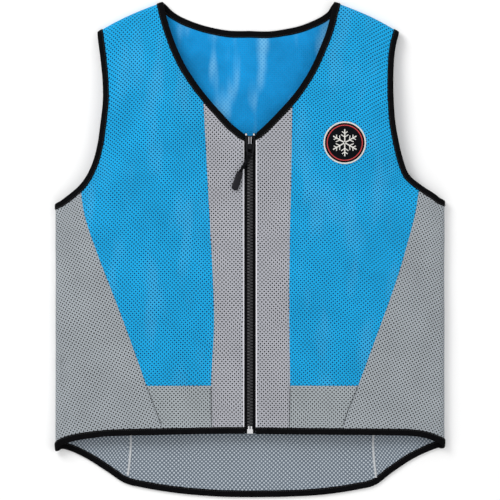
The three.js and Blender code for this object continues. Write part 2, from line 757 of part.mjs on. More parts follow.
// Panels
for (const [name, side] of Object.entries(sides)) {
  const { placket, chest, insert, side: sidePanel } = halves[name];
  const turned = side < 0;
  const chestSeams = {
    top: true, bottom: true, first: foldSteps + neckSteps, last: foldSteps + armholeSteps,
  };
  piece(`front_chest_${name}`, clothPanel([{ grid: chest, turned, seams: chestSeams }]), blueMesh);
  piece(`front_placket_${name}`, clothPanel([{ grid: placket, turned, seams: { last: 0 } }]), greyMesh);
  piece(`front_hem_insert_${name}`,
    clothPanel([{ grid: insert, turned, seams: { top: true, first: 0, last: 0 } }]), greyMesh);
  piece(`side_panel_${name}`,
    clothPanel([{ grid: sidePanel, turned, seams: { first: 0, last: 0 } }]), greyMesh);
}
piece('back_panel', clothPanel([
  { grid: backMain, turned: true, seams: { bottom: true, first: armholeSteps, last: armholeSteps } },
  { grid: halves.left.backShoulder, turned: false, seams: { top: true } },
  { grid: halves.right.backShoulder, turned: true, seams: { top: true } },
]), blueMesh);
piece('back_tail_panel',
  clothPanel([{ grid: tailMain, turned: true, seams: { top: true, first: 0, last: 0 } }]), greyMesh);

// Bindings: the neck and the hem start and end at the zip, the armholes are loops
const stationsOf = (points, into) => points.map((at) => ({ at, into }));
const wayAlong = (name, sign) => new THREE.Vector3(shoulders[name].along.x, shoulders[name].along.y, 0)
  .multiplyScalar(sign);
const onSideFold = [sidePanelSteps, sidePanelSteps + 2 * foldSteps];

function acrossSideFold(row, into) {
  return row.map((at, c) => ({ at, into: c >= onSideFold[0] && c <= onSideFold[1] ? into : undefined }));
}

const neckSide = (name) => {
  const { placket, chest, backShoulder } = halves[name];
  const onFold = wayAlong(name, 1);
  return [
    ...stationsOf([placket[0][0]], new THREE.Vector3(0, -1, 0)),
    ...stationsOf(placket[0].slice(1)),
    ...stationsOf(column(chest, 0, foldSteps + 1, foldSteps + neckSteps)).reverse(),
    ...stationsOf(column(chest, 0, 0, foldSteps), onFold).reverse(),
    ...stationsOf(column(backShoulder, 0), onFold),
  ];
};
const hemSide = ({ placket, insert, side: sidePanel }) => [
  ...stationsOf([placket.at(-1)[0]], new THREE.Vector3(0, 1, 0)),
  ...stationsOf([...placket.at(-1).slice(1), ...insert.at(-1)]),
  ...acrossSideFold(sidePanel.at(-1), new THREE.Vector3(0, 1, 0)),
];
const armholeLoop = (name, backColumn) => {
  const { chest, side: sidePanel, backShoulder } = halves[name];
  const onFold = wayAlong(name, -1);
  return [
    ...stationsOf(column(chest, -1, 0, foldSteps), onFold),
    ...stationsOf(column(chest, -1, foldSteps + 1, foldSteps + armholeSteps)),
    ...acrossSideFold(sidePanel[0], new THREE.Vector3(0, -1, 0)),
    ...stationsOf(column(backMain, backColumn, 1, armholeSteps)).reverse(),
    ...stationsOf(column(backShoulder, -1), onFold).reverse(),
  ];
};
const backNeckLine = stationsOf(backMain[0].slice(shoulderSteps + 1, shoulderSteps + backNeckSteps));
const neckPath = [...neckSide('left'), ...backNeckLine, ...neckSide('right').reverse()];
const hemPath = [
  ...hemSide(halves.left), ...stationsOf(tailMain.at(-1)), ...hemSide(halves.right).reverse(),
];
const armholeTape = { width: armholeBindingWidth, closed: true };
piece('neck_binding', binding(neckPath, 1), tapeBlack);
piece('hem_binding', binding(hemPath, -1), tapeBlack);
piece('armhole_binding_left', binding(armholeLoop('left', 0), 1, armholeTape), tapeBlack);
piece('armhole_binding_right', binding(armholeLoop('right', -1), -1, armholeTape), tapeBlack);

// Zip: levels and ends
const zipUnder = foldHeight - clothWall; // the inner face of the plackets
const tapeTop = zipUnder - clearance;
const tapeBottom = tapeTop - zipTapeWall;
const chainMiddle = (tapeTop + tapeBottom) / 2;
const chainTop = chainMiddle + chainThickness / 2;
const neckEnd = neckPath[0].at;
const hemEnd = hemPath[0].at;
const sliderTop = depthY(frontNeckDepth) - sliderBelowNeck;
const boxBottom = depthY(frontLength);
const chainHalf = chainWidth / 2;

function prism(points, thickness, bottom, holes = []) {
  const shape = new THREE.Shape(points.map(([x, y]) => flat(x, y)));
  shape.holes = holes.map((hole) => new THREE.Path(hole.map(([x, y]) => flat(x, y))));
  const geometry = new THREE.ExtrudeGeometry(shape, { depth: thickness, bevelEnabled: false });
  return geometry.translate(0, 0, bottom);
}

const mirrored = (points, side) => points.map(([x, y]) => [side * x, y]);

function zipTape(side) {
  const inner = chainHalf + clearance;
  const shown = zipOpening / 2 - clearance;
  const hidden = zipOpening / 2 + tapeUnderPlacket;
  const underNeck = neckEnd.y - 1.6 * bindingWidth;
  const aboveHem = hemEnd.y + bindingWidth;
  const tapeEnd = sliderTop + tapeAboveSlider;
  return prism(mirrored([
    [inner, boxBottom], [shown, boxBottom], [shown, aboveHem], [hidden, aboveHem],
    [hidden, underNeck], [shown, underNeck], [shown, tapeEnd], [inner, tapeEnd],
  ], side), zipTapeWall, tapeBottom);
}

// One chain: a spine whose inner edge is the zigzag of the teeth, half of the clearance off the middle line
const chainFrom = boxBottom + boxLength + clearance;
const toothCount = Math.floor((sliderTop - wedgeLength - clearance - chainFrom) / toothPitch);
const toothSlope = Math.atan2(toothPitch / 2, 2 * toothReach);
const toothGap = seamHalf / Math.sin(toothSlope);

function toothChain(side) {
  const outer = [[chainHalf, chainFrom], [chainHalf, chainFrom + toothCount * toothPitch]];
  const teeth = Array.from({ length: 2 * toothCount + 1 }, (_, i) => {
    const tip = (i % 2 === 0) === (side > 0) ? -toothReach : toothReach;
    return [tip + toothGap, chainFrom + ((2 * toothCount - i) * toothPitch) / 2];
  });
  return prism(mirrored([...outer, ...teeth], side), chainThickness, chainMiddle - chainThickness / 2);
}

for (const [name, side] of Object.entries(sides)) {
  piece(`zipper_tape_${name}`, zipTape(side), tapeBlack);
  piece(`zipper_teeth_${name}`, toothChain(side), mouldedBlack);
  const stop = new THREE.BoxGeometry(stopWidth, stopLength, stopThickness);
  const stopX = chainHalf + clearance + stopWidth / 2;
  const stopY = sliderTop + clearance + stopLength / 2;
  piece(`top_stop_${name}`, stop, brightMetal)
    .position.set(side * stopX, stopY, tapeTop + clearance + stopThickness / 2);
}
piece('zipper_box', new THREE.BoxGeometry(chainWidth, boxLength, boxThickness), brightMetal)
  .position.set(0, boxBottom + boxLength / 2, chainMiddle);

// Joining of overlapping solids
function toManifold(geometry) {
  const plain = geometry.clone();
  plain.deleteAttribute('normal');
  plain.deleteAttribute('uv');
  const merged = mergeVertices(plain);
  const mesh = new wasm.Mesh({
    numProp: 3,
    vertProperties: new Float32Array(merged.attributes.position.array),
    triVerts: new Uint32Array(merged.index.array),
  });
  return new wasm.Manifold(mesh);
}

function joined(geometries) {
  const whole = geometries.map(toManifold).reduce((sum, next) => sum.add(next));
  const { vertProperties, triVerts } = whole.getMesh();
  const geometry = new THREE.BufferGeometry();
  geometry.setAttribute('position', new THREE.BufferAttribute(vertProperties, 3));
  geometry.setIndex(new THREE.BufferAttribute(triVerts, 1));
  geometry.computeVertexNormals();
  return geometry;
}

// Slider: two plates with rims, joined by the wedge at its upper end, and the crown that holds the link
const sliderRoom = chainThickness / 2 + clearance;
const plateTop = chainMiddle + sliderRoom + sliderPlate;
const linkCornerReach = linkWire * Math.SQRT1_2; // middle of the link's wire to its corners
const linkBottom = chainTop + 2 * clearance + cordThickness + linkCornerReach - linkWire / 2;
const linkTop = linkBottom + linkWire;
const linkBar = sliderTop - linkFromTop;
const linkWidth = crownWidth + 2 * clearance + 2 * linkWire + 2 * clearance;
const linkEnd = sliderTop - sliderLength - cordThickness - 2 * clearance - linkCornerReach - linkWire / 2;

function sliderPlateAt(bottom) {
  const top = sliderWidth / 2;
  const mouth = sliderMouth / 2;
  const corner = sliderPlate;
  const low = sliderTop - sliderLength;
  return prism([
    [-top + corner, sliderTop], [-top, sliderTop - corner], [-mouth, low + corner], [-mouth + corner, low],
    [mouth - corner, low], [mouth, low + corner], [top, sliderTop - corner], [top - corner, sliderTop],
  ], sliderPlate, bottom);
}

function sliderRim(side, bottom, top) {
  const inner = chainHalf + 2 * clearance;
  return prism(mirrored([
    [inner, sliderTop - sliderPlate], [inner, sliderTop - sliderLength + sliderPlate],
    [sliderMouth / 2, sliderTop - sliderLength + sliderPlate], [sliderWidth / 2, sliderTop - sliderPlate],
  ], side), top - bottom, bottom);
}

function crown() {
  const base = plateTop - sliderPlate / 2;
  const top = linkTop + clearance + crownWall;
  const end = linkBar + linkWire / 2 + clearance + crownWall;
  const start = end - crownLength;
  const slope = (top - base) * 0.8;
  const barFrom = linkBar - linkWire / 2 - clearance;
  const barTo = linkBar + linkWire / 2 + clearance;
  const outline = [
    [start, base], [end, base], [end, top - crownWall], [end - crownWall, top], [start + slope, top],
  ];
  const tunnel = [[barFrom, linkBottom - clearance], [barTo, linkBottom - clearance],
    [barTo, linkTop + clearance], [barFrom, linkTop + clearance]];
  const along = prism(outline, crownWidth, -crownWidth / 2, [tunnel]);
  return along.applyMatrix4(new THREE.Matrix4().makeBasis(
    new THREE.Vector3(0, 1, 0), new THREE.Vector3(0, 0, 1), new THREE.Vector3(1, 0, 0)));
}

const plateInner = chainMiddle + sliderRoom;
const lowerInner = chainMiddle - sliderRoom;
piece('slider_body', joined([
  sliderPlateAt(plateInner),
  sliderPlateAt(lowerInner - sliderPlate),
  prism([
    [-wedgeWidth / 2, sliderTop - sliderPlate], [0, sliderTop - wedgeLength],
    [wedgeWidth / 2, sliderTop - sliderPlate],
  ], 2 * sliderRoom + sliderPlate, lowerInner - sliderPlate / 2),
  ...Object.values(sides).flatMap((side) => [
    sliderRim(side, tapeTop + clearance, plateInner + sliderPlate / 2),
    sliderRim(side, lowerInner - sliderPlate / 2, tapeBottom - clearance),
  ]),
  crown(),
]), darkMetal);

// Link: a flat ring through the crown, with its free bar past the slider's mouth
const linkHalf = linkWidth / 2;
const linkCorner = linkWire / 2;
const linkUpper = linkBar + linkWire / 2;
piece('pull_link', prism([
  [-linkHalf + linkCorner, linkUpper], [-linkHalf, linkUpper - linkCorner],
  [-linkHalf, linkEnd + linkCorner], [-linkHalf + linkCorner, linkEnd],
  [linkHalf - linkCorner, linkEnd], [linkHalf, linkEnd + linkCorner],
  [linkHalf, linkUpper - linkCorner], [linkHalf - linkCorner, linkUpper],
], linkWire, linkBottom, [[
  [-linkHalf + linkWire, linkEnd + linkWire], [-linkHalf + linkWire, linkUpper - linkWire],
  [linkHalf - linkWire, linkUpper - linkWire], [linkHalf - linkWire, linkEnd + linkWire],
]]), darkMetal);

// Grip: a rounded bar that lies on the left placket
const lean = THREE.MathUtils.degToRad(gripLean);
const gripWay = new THREE.Vector3(-Math.sin(lean), -Math.cos(lean), 0);
const gripSide = new THREE.Vector3(Math.cos(lean), -Math.sin(lean), 0);
const gripLevel = foldHeight + clearance + gripThickness / 2;
const gripStart = new THREE.Vector3(-gripAcross, sliderTop - gripBelow, gripLevel);
const gripMiddle = gripStart.clone().addScaledVector(gripWay, gripLength / 2);
const gripForm = new THREE.CapsuleGeometry(gripWidth / 2, gripLength - gripWidth, 4, 12)
  .scale(1, 1, gripThickness / gripWidth);
const grip = piece('pull_grip', gripForm, gripGrey);
grip.position.copy(gripMiddle);
grip.rotation.z = -lean;

// Cord: it comes out of the grip, goes over the link's free bar, through the link and back under the bar
const linkLevel = (linkBottom + linkTop) / 2;
const freeBar = linkEnd + linkWire / 2;
const aroundBar = linkCornerReach + clearance + cordThickness / 2;
const cordSpread = cordThickness / 2 + clearance / 2;
const cordStart = gripStart.clone().addScaledVector(gripWay, -clearance);
const cordTurn = new THREE.Vector3(-clearance, freeBar, linkLevel);
const cordMiddle = cordStart.clone().lerp(cordTurn, 0.5);
cordMiddle.z = gripStart.z;
const cordRoute = [
  cordStart.clone().addScaledVector(gripSide, -cordSpread),
  cordMiddle.clone().addScaledVector(gripSide, -cordSpread),
  cordTurn.clone().add(new THREE.Vector3(0, 0, aroundBar)),
  cordTurn.clone().add(new THREE.Vector3(0, aroundBar, 0)),
  cordTurn.clone().add(new THREE.Vector3(0, 0, -aroundBar)),
  cordMiddle.clone().addScaledVector(gripSide, cordSpread),
  cordStart.clone().addScaledVector(gripSide, cordSpread),
];
const cordHalf = cordThickness / 2;
const cordSection = new THREE.Shape(new THREE.EllipseCurve(0, 0, cordHalf, cordHalf).getPoints(8));
piece('pull_cord', new THREE.ExtrudeGeometry(cordSection, {
  steps: 32, extrudePath: new THREE.CatmullRomCurve3(cordRoute), bevelEnabled: false,
}), tapeBlack);

// Badge: a round patch that follows the chest
const patchRings = 4;
const patchSpokes = 24;

function chestBadge() {
  const middle = flat(patchFromZip, depthY(patchBelowNeck));
  const faces = [clearance, clearance + patchThickness];
  const positions = faces.flatMap((raise) => [
    new THREE.Vector3(middle.x, middle.y, frontHeight(middle) + raise),
    ...Array.from({ length: patchRings * patchSpokes }, (_, i) => {
      const angle = (2 * Math.PI * (i % patchSpokes)) / patchSpokes;
      const reach = (patchDiameter / 2) * ((Math.floor(i / patchSpokes) + 1) / patchRings);
      const at = flat(reach, 0).rotateAround(flat(0, 0), angle).add(middle);
      return new THREE.Vector3(at.x, at.y, frontHeight(at) + raise);
    }),
  ]);
  const perFace = 1 + patchRings * patchSpokes;
  const at = (ring, spoke) => 1 + ring * patchSpokes + (spoke % patchSpokes);
  const indices = [];
  for (let spoke = 0; spoke < patchSpokes; spoke += 1) {
    const top = [[0, at(0, spoke), at(0, spoke + 1)]];
    for (let ring = 0; ring + 1 < patchRings; ring += 1) {
      const [a, b] = [at(ring, spoke), at(ring, spoke + 1)];
      const [c, d] = [at(ring + 1, spoke + 1), at(ring + 1, spoke)];
      top.push([a, d, c], [a, c, b]);
    }
    for (const [a, b, c] of top) indices.push(a + perFace, b + perFace, c + perFace, a, c, b);
    const [e, f] = [at(patchRings - 1, spoke), at(patchRings - 1, spoke + 1)];
    indices.push(e, f, f + perFace, e, f + perFace, e + perFace);
  }
  return facingOut(positions, indices);
}

piece('chest_patch', chestBadge(), patchCloth);

export default vest;
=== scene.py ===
import math
import bmesh
import bpy
import numpy as np
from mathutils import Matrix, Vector, bvhtree, kdtree, noise


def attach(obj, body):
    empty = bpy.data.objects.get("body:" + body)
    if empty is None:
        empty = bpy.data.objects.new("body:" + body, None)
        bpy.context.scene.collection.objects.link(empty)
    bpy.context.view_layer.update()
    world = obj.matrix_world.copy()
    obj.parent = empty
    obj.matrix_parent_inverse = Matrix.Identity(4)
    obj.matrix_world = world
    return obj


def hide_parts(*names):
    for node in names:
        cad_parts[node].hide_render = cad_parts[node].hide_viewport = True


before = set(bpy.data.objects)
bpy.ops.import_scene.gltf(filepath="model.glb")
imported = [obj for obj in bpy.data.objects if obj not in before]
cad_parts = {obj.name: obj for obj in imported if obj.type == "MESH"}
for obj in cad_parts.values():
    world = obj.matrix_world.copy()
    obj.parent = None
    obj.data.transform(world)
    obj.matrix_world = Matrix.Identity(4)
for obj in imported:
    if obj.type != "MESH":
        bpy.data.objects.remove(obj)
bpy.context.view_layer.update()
scene = bpy.context.scene
mm = 0.001

# The garment's sizes in millimetres, as the frame was cut
vest = {
    "chestWidth": 560, "bodyLength": 713, "frontLength": 621, "sideLength": 641, "chestPanelLength": 552,
    "shoulderWidth": 434, "shoulderDrop": 43.5, "shoulderBow": 3, "neckWidth": 252, "frontNeckDepth": 189,
    "backNeckDepth": 42, "armholeDepth": 251, "armholeInset": 72, "underarmDip": 4, "placketWidth": 56,
    "sidePanelTop": 36, "sidePanelHem": 154, "backSeamTop": 36, "backSeamHem": 100, "foldHeight": 17,
    "clothEdge": 1.5, "chestLoft": 9, "hemLoft": 3, "loftRun": 105, "zipFlat": 34, "edgeLift": 1.6,
    "edgeLiftRun": 60, "foldWidth": 26, "foldRise": 3, "bindingWidth": 9.4, "zipOpening": 16.6,
    "hemDip": {"left": 6, "right": 3},  # the right corner lies drawn up, a little more than in the frame
    "wall": 1.5,  # mesh cloth with its seam allowance
    "fine": 8,  # times finer than the frame's own grid
    "floorGap": 0.02,  # the lowest that cloth or tape may lie
}

# left, right: where the shoulders end, as shares of half neckWidth and half shoulderWidth
shoulderRows = [(0.994, 0.963), (1.012, 0.989)]
# down, left, right: shares of the sizes that each edge or seam follows
neckRows = [
    (0.12, 0.954, 0.917), (0.24, 0.898, 0.866), (0.36, 0.83, 0.794), (0.48, 0.744, 0.714), (0.6, 0.63, 0.612),
    (0.72, 0.494, 0.482), (0.84, 0.337, 0.319), (0.94, 0.194, 0.171), (1.04, 0.0, 0.0),
]
# across, then how far down on the left and on the right
backNeckRows = [
    (0.88, 0.33, 0.36), (0.77, 0.53, 0.57), (0.585, 0.75, 0.8), (0.41, 0.89, 0.92), (0.215, 0.98, 1.0),
    (0.0, 0.985, 0.985),
]
armholeRows = [
    (0.07, 0.868, 0.974), (0.15, 0.904, 1.013), (0.28, 0.949, 1.032), (0.4, 0.954, 1.023),
    (0.52, 0.908, 0.99), (0.64, 0.85, 0.915), (0.74, 0.76, 0.827), (0.82, 0.634, 0.708),
    (0.88, 0.481, 0.458), (0.93, 0.282, 0.19), (0.97, 0.1, 0.04), (1.0, -0.02, -0.02),
]
sideSeamRows = [
    (0.0, 0.0, 0.0), (0.12, 0.055, 0.061), (0.26, 0.194, 0.172), (0.4, 0.357, 0.302), (0.55, 0.531, 0.465),
    (0.7, 0.695, 0.631), (0.81, 0.812, 0.754), (0.9, 0.913, 0.866), (1.0, 1.03, 0.97),
]
placketSeamRows = [
    (0.0, 1.21, 1.09), (0.14, 1.137, 1.07), (0.28, 1.076, 1.05), (0.42, 1.009, 1.022), (0.56, 0.947, 1.011),
    (0.7, 0.928, 1.011), (0.86, 0.998, 1.03), (1.0, 0.98, 1.007),
]
frontHemRows = [
    (0.0, 0.0, 0.0), (0.16, 0.0, 0.04), (0.45, 0.07, 0.07), (0.7, 0.15, 0.1), (0.82, 0.32, 0.14),
    (0.9, 0.5, 0.3), (0.96, 0.77, 0.6), (1.0, 1.0, 0.92),
]
tailHemRows = [
    (0.0, 1.0, 1.0), (0.14, 0.992, 0.996), (0.3, 0.95, 0.972), (0.42, 0.895, 0.93), (0.55, 0.81, 0.85),
    (0.645, 0.715, 0.755), (0.73, 0.5, 0.51), (0.83, 0.25, 0.25), (0.92, 0.08, 0.08), (1.0, 0.0, -0.03),
]
backSeamRows = [(0.0, 0.0), (0.3, 0.45), (0.6, 0.88), (0.84, 1.08), (1.0, 1.0)]
# from across, from down, to across, to down, width, rise
frontFolds = [
    (-0.94, 0.7, -0.96, 0.84, 0.8, -0.8), (-0.86, 0.66, -0.93, 0.9, 0.8, 0.9),
    (-0.62, 0.15, -0.66, 0.27, 1.2, -0.9), (-0.7, 0.32, -0.74, 0.42, 0.9, 0.8),
    (-0.36, 0.2, -0.28, 0.3, 0.9, 0.7), (-0.55, 0.52, -0.4, 0.66, 1.5, 0.6),
    (0.7, 0.29, 0.74, 0.42, 1.0, -0.9), (0.5, 0.5, 0.62, 0.66, 1.5, 0.6), (0.86, 0.6, 0.78, 0.86, 1.0, 0.7),
]
# Finer folds and creases that only the cloth has: ends in mm, width and rise in mm
clothFolds = [
    (-268, -160, -262, -250, 5, -1.9), (-256, -170, -270, -255, 6, 1.7), (-266, 40, -250, -60, 7, 0.7),
    (-178, 250, -160, 190, 9, -0.8), (-205, 120, -150, 96, 8, 0.6), (-80, 195, -66, 160, 7, 0.5),
    (-120, -20, -60, -120, 12, 0.5), (196, 165, 208, 70, 8, -0.7), (165, 120, 232, 96, 8, 0.6),
    (120, 60, 96, -40, 12, 0.5), (230, -40, 180, -190, 10, 0.6), (262, 20, 254, -120, 7, 0.8),
    (70, 150, 84, 90, 8, 0.4), (-24, 60, -22, -80, 7, 0.35), (26, 0, 24, -150, 7, 0.35),
    (-58, 262, -40, 215, 9, 0.9), (24, 268, 6, 228, 9, 0.9), (60, 300, 30, 220, 10, -0.6),
]
steps = {
    "fold": 3, "armhole": 9, "seam": 9, "insert": 3, "neck": 5, "placket": 3, "shoulder": 6, "side": 4,
    "under": 4, "backNeck": 8,
}
steps = {key: count * vest["fine"] for key, count in steps.items()}
sides = {"left": -1, "right": 1}
column = {"left": 1, "right": 2}  # of each table's rows
half = vest["chestWidth"] / 2
topY = vest["bodyLength"] / 2
foldHeight = vest["foldHeight"]


def placed(name, data):
    obj = bpy.data.objects.new(name, data)
    scene.collection.objects.link(obj)
    return obj


def depthY(down):
    return topY - down


def lerp(a, b, share):
    return a + (b - a) * share


def smooth(value, low, high):
    share = np.clip((value - low) / (high - low), 0, 1)
    return share * share * (3 - 2 * share)


# A smooth curve through points, read at shares of its length in points
def along(points, shares):
    points = np.asarray(points, float)
    last = len(points) - 1
    at = np.atleast_1d(shares) * last
    i = np.clip(np.floor(at).astype(int), 0, last)
    t = (at - i)[:, None]
    p0, p1 = points[np.clip(i - 1, 0, last)], points[i]
    p2, p3 = points[np.clip(i + 1, 0, last)], points[np.clip(i + 2, 0, last)]
    v0, v1 = (p2 - p0) / 2, (p3 - p1) / 2
    return (2 * p1 - 2 * p2 + v0 + v1) * t**3 + (3 * p2 - 3 * p1 - 2 * v0 - v1) * t**2 + v0 * t + p1


def shifted(points, distance, samples=49, near=1e-4):
    shares = np.linspace(0, 1, samples)
    tangent = along(points, np.clip(shares + near, 0, 1)) - along(points, np.clip(shares - near, 0, 1))
    tangent /= np.linalg.norm(tangent, axis=1)[:, None]
    return along(points, shares) + np.stack([-tangent[:, 1], tangent[:, 0]], axis=1) * distance


def shareWhere(points, measure, value, low=0.0, high=1.0, halvings=40):
    rising = measure(along(points, high)[0]) > measure(along(points, low)[0])
    for _ in range(halvings):
        middle = (low + high) / 2
        if (measure(along(points, middle)[0]) < value) == rising:
            low = middle
        else:
            high = middle
    return (low + high) / 2


def wideX(p):
    return abs(p[0])


def stretch(points, start, end, count):
    return along(points, np.linspace(start, end, count + 1))


def straight(start, end, count):
    start, end = np.asarray(start), np.asarray(end)
    return start + (end - start) * np.linspace(0, 1, count + 1)[:, None]


def neckPlace(row, k, side):
    return np.array([side * row[k] * vest["neckWidth"] / 2, depthY(row[0] * vest["frontNeckDepth"])])


def backNeckPlace(row, k, side):
    return np.array([side * row[0] * vest["neckWidth"] / 2, depthY(row[k] * vest["backNeckDepth"])])


def armholePlace(row, k, side):
    down = vest["shoulderDrop"] + row[0] * vest["armholeDepth"]
    return np.array([side * (half - row[k] * vest["armholeInset"]), depthY(down)])


def hemPlace(top, bottom):
    def place(row, k, side):
        return np.array([side * row[0] * half, depthY(lerp(vest[top], vest[bottom], row[k]))])
    return place


# Shoulders: each edge leaves the fold along itself
def shoulderOf(name, side):
    k = column[name]
    neckX, outerX = (side * row[k - 1] * vest[width] / 2 for row, width in zip(
        shoulderRows, ("neckWidth", "shoulderWidth")))
    neckPoint, outerPoint = np.array([neckX, depthY(0)]), np.array([outerX, depthY(vest["shoulderDrop"])])
    way = (outerPoint - neckPoint) / np.linalg.norm(outerPoint - neckPoint)
    into = np.array([way[1] * side, -way[0] * side])
    inner, outer = neckPoint + way * vest["clothEdge"], outerPoint - way * vest["clothEdge"]
    spots = {"into": into, "inner": inner, "outer": outer}
    for label, end, cloth, first in (
            ("neckStart", neckPoint, inner, neckPlace(neckRows[0], k, side)),
            ("backNeckStart", neckPoint, inner, backNeckPlace(backNeckRows[0], k, side)),
            ("armholeStart", outerPoint, outer, armholePlace(armholeRows[0], k, side))):
        leaving = (first - end) / np.linalg.norm(first - end) * foldHeight / 2
        spots[label], spots["finished" + label] = cloth + leaving, end + leaving
    return spots


shoulders = {name: shoulderOf(name, side) for name, side in sides.items()}


def bothSides(rows, place, start=None):
    curves = {}
    for name, side in sides.items():
        points = [place(row, column[name], side) for row in rows]
        curves[name] = np.array([shoulders[name]["finished" + start], *points] if start else points)
    return curves


def clothEdge(rows, place, turn, start=None):
    curves = bothSides(rows, place, start)
    for name, side in sides.items():
        curves[name] = shifted(curves[name], turn * side * vest["clothEdge"])
        if start:
            curves[name][0] = shoulders[name][start]
    return curves


neckEdge = clothEdge(neckRows, neckPlace, 1, "neckStart")
armholeEdge = clothEdge(armholeRows, armholePlace, -1, "armholeStart")
backNeck = clothEdge(backNeckRows, backNeckPlace, 1, "backNeckStart")
frontHem = clothEdge(frontHemRows, hemPlace("frontLength", "sideLength"), 1)
tailHem = clothEdge(tailHemRows, hemPlace("sideLength", "bodyLength"), 1)


# Heights of the two layers
def awayFrom(edges, p, samples=61, chunk=4000):
    shares = np.linspace(0, 1, samples)
    points = np.concatenate([along(edge[name], shares) for edge in edges for name in sides])
    away = np.empty(len(p))
    for i in range(0, len(p), chunk):
        part = p[i:i + chunk]
        away[i:i + chunk] = np.sqrt(((part[:, None] - points[None]) ** 2).sum(axis=2).min(axis=1))
    return away


def belowShoulder(p):
    below = np.empty(len(p))
    for name, side in sides.items():
        here = np.sign(p[:, 0] + 1e-9) == side
        below[here] = (p[here] - shoulders[name]["inner"]) @ shoulders[name]["into"]
    return below


def nearFold(p, start, end, width):
    run = end - start
    share = np.clip(((p - start) @ run) / (run @ run), 0, 1)
    away = np.linalg.norm(p - start - share[:, None] * run, axis=1) / width
    return np.exp(-away * away)


def frontHeight(p):
    x, fromSide, fromShoulder = np.abs(p[:, 0]), half - np.abs(p[:, 0]), belowShoulder(p)
    run, flat, width = vest["loftRun"], vest["zipFlat"], vest["foldWidth"]
    rising = smooth(fromSide, 0, run) * smooth(fromShoulder, 0, run) * smooth(x, flat, flat + run)
    low = smooth(topY - p[:, 1], vest["chestPanelLength"] / 2, vest["frontLength"])
    tapes = 2 * vest["bindingWidth"]
    calm = smooth(fromShoulder, 0, width) * smooth(x, flat, flat + width) * smooth(
        awayFrom([neckEdge, armholeEdge, frontHem], p), tapes, tapes + width)
    folds = np.zeros(len(p))
    for fromAcross, fromDown, toAcross, toDown, wide, rise in frontFolds:
        start = np.array([fromAcross * half, depthY(fromDown * vest["bodyLength"])])
        end = np.array([toAcross * half, depthY(toDown * vest["bodyLength"])])
        folds += rise * nearFold(p, start, end, wide * width)
    loft = lerp(vest["chestLoft"], vest["hemLoft"], low)
    return foldHeight + loft * rising + calm * vest["foldRise"] * folds


def backHeight(p):
    away = awayFrom([armholeEdge, tailHem, backNeck], p)
    start = 2 * vest["bindingWidth"]
    return vest["edgeLift"] * (1 - smooth(away, start, start + vest["edgeLiftRun"]))


def patch(top, bottom, first, last):
    u = np.linspace(0, 1, len(top))[None, :, None]
    v = np.linspace(0, 1, len(first))[:, None, None]
    across = top[None] * (1 - v) + bottom[None] * v
    down = first[:, None] * (1 - u) + last[:, None] * u
    corners = (top[0] * (1 - u) + top[-1] * u) * (1 - v) + (bottom[0] * (1 - u) + bottom[-1] * u) * v
    return across + down - corners


def raised(grid, height):
    flat = grid.reshape(-1, 2)
    return np.concatenate([flat, height(flat)[:, None]], axis=1).reshape(*grid.shape[:2], 3)


def bow(spots, share):
    return spots["into"] * 4 * share * (1 - share) * vest["shoulderBow"]


def shoulderFold(name, line, height):
    spots = shoulders[name]
    share = np.linspace(0, 1, len(line))[:, None]
    ridge = spots["inner"] + (spots["outer"] - spots["inner"]) * share
    ridge = ridge - bow(spots, share)
    level = height(line)
    rows = []
    for step in range(steps["fold"]):
        angle = math.pi / 2 * step / steps["fold"]
        at = ridge + (line - ridge) * (1 - math.cos(angle))
        rows.append(np.column_stack([at, lerp(foldHeight / 2, level, math.sin(angle))]))
    return np.array(rows)


def shoulderStart(name, start):
    spots = shoulders[name]
    share = np.linspace(0, 1, steps["shoulder"] + 1)[:, None]
    line = spots[start] + (spots["armholeStart"] - spots[start]) * share
    return line - bow(spots, share)


def seamPoints(points, upperSteps):
    split = shareWhere(points, lambda p: -p[1], -depthY(vest["chestPanelLength"]))
    lower = stretch(points, split, 1, steps["insert"])
    return np.concatenate([stretch(points, 0, split, upperSteps), lower[1:]])


def sideFold(side, start, end, dips):
    rows = []
    for i in range(1, 2 * steps["fold"]):
        angle = math.pi * i / (2 * steps["fold"])
        share = (1 - math.cos(angle)) / 2
        rows.append(np.column_stack([
            start[:, 0] + side * foldHeight / 2 * math.sin(angle),
            lerp(start[:, 1], end[:, 1], share) - dips * math.sin(angle),
            lerp(start[:, 2], end[:, 2], share)]))
    return np.stack(rows, axis=1)


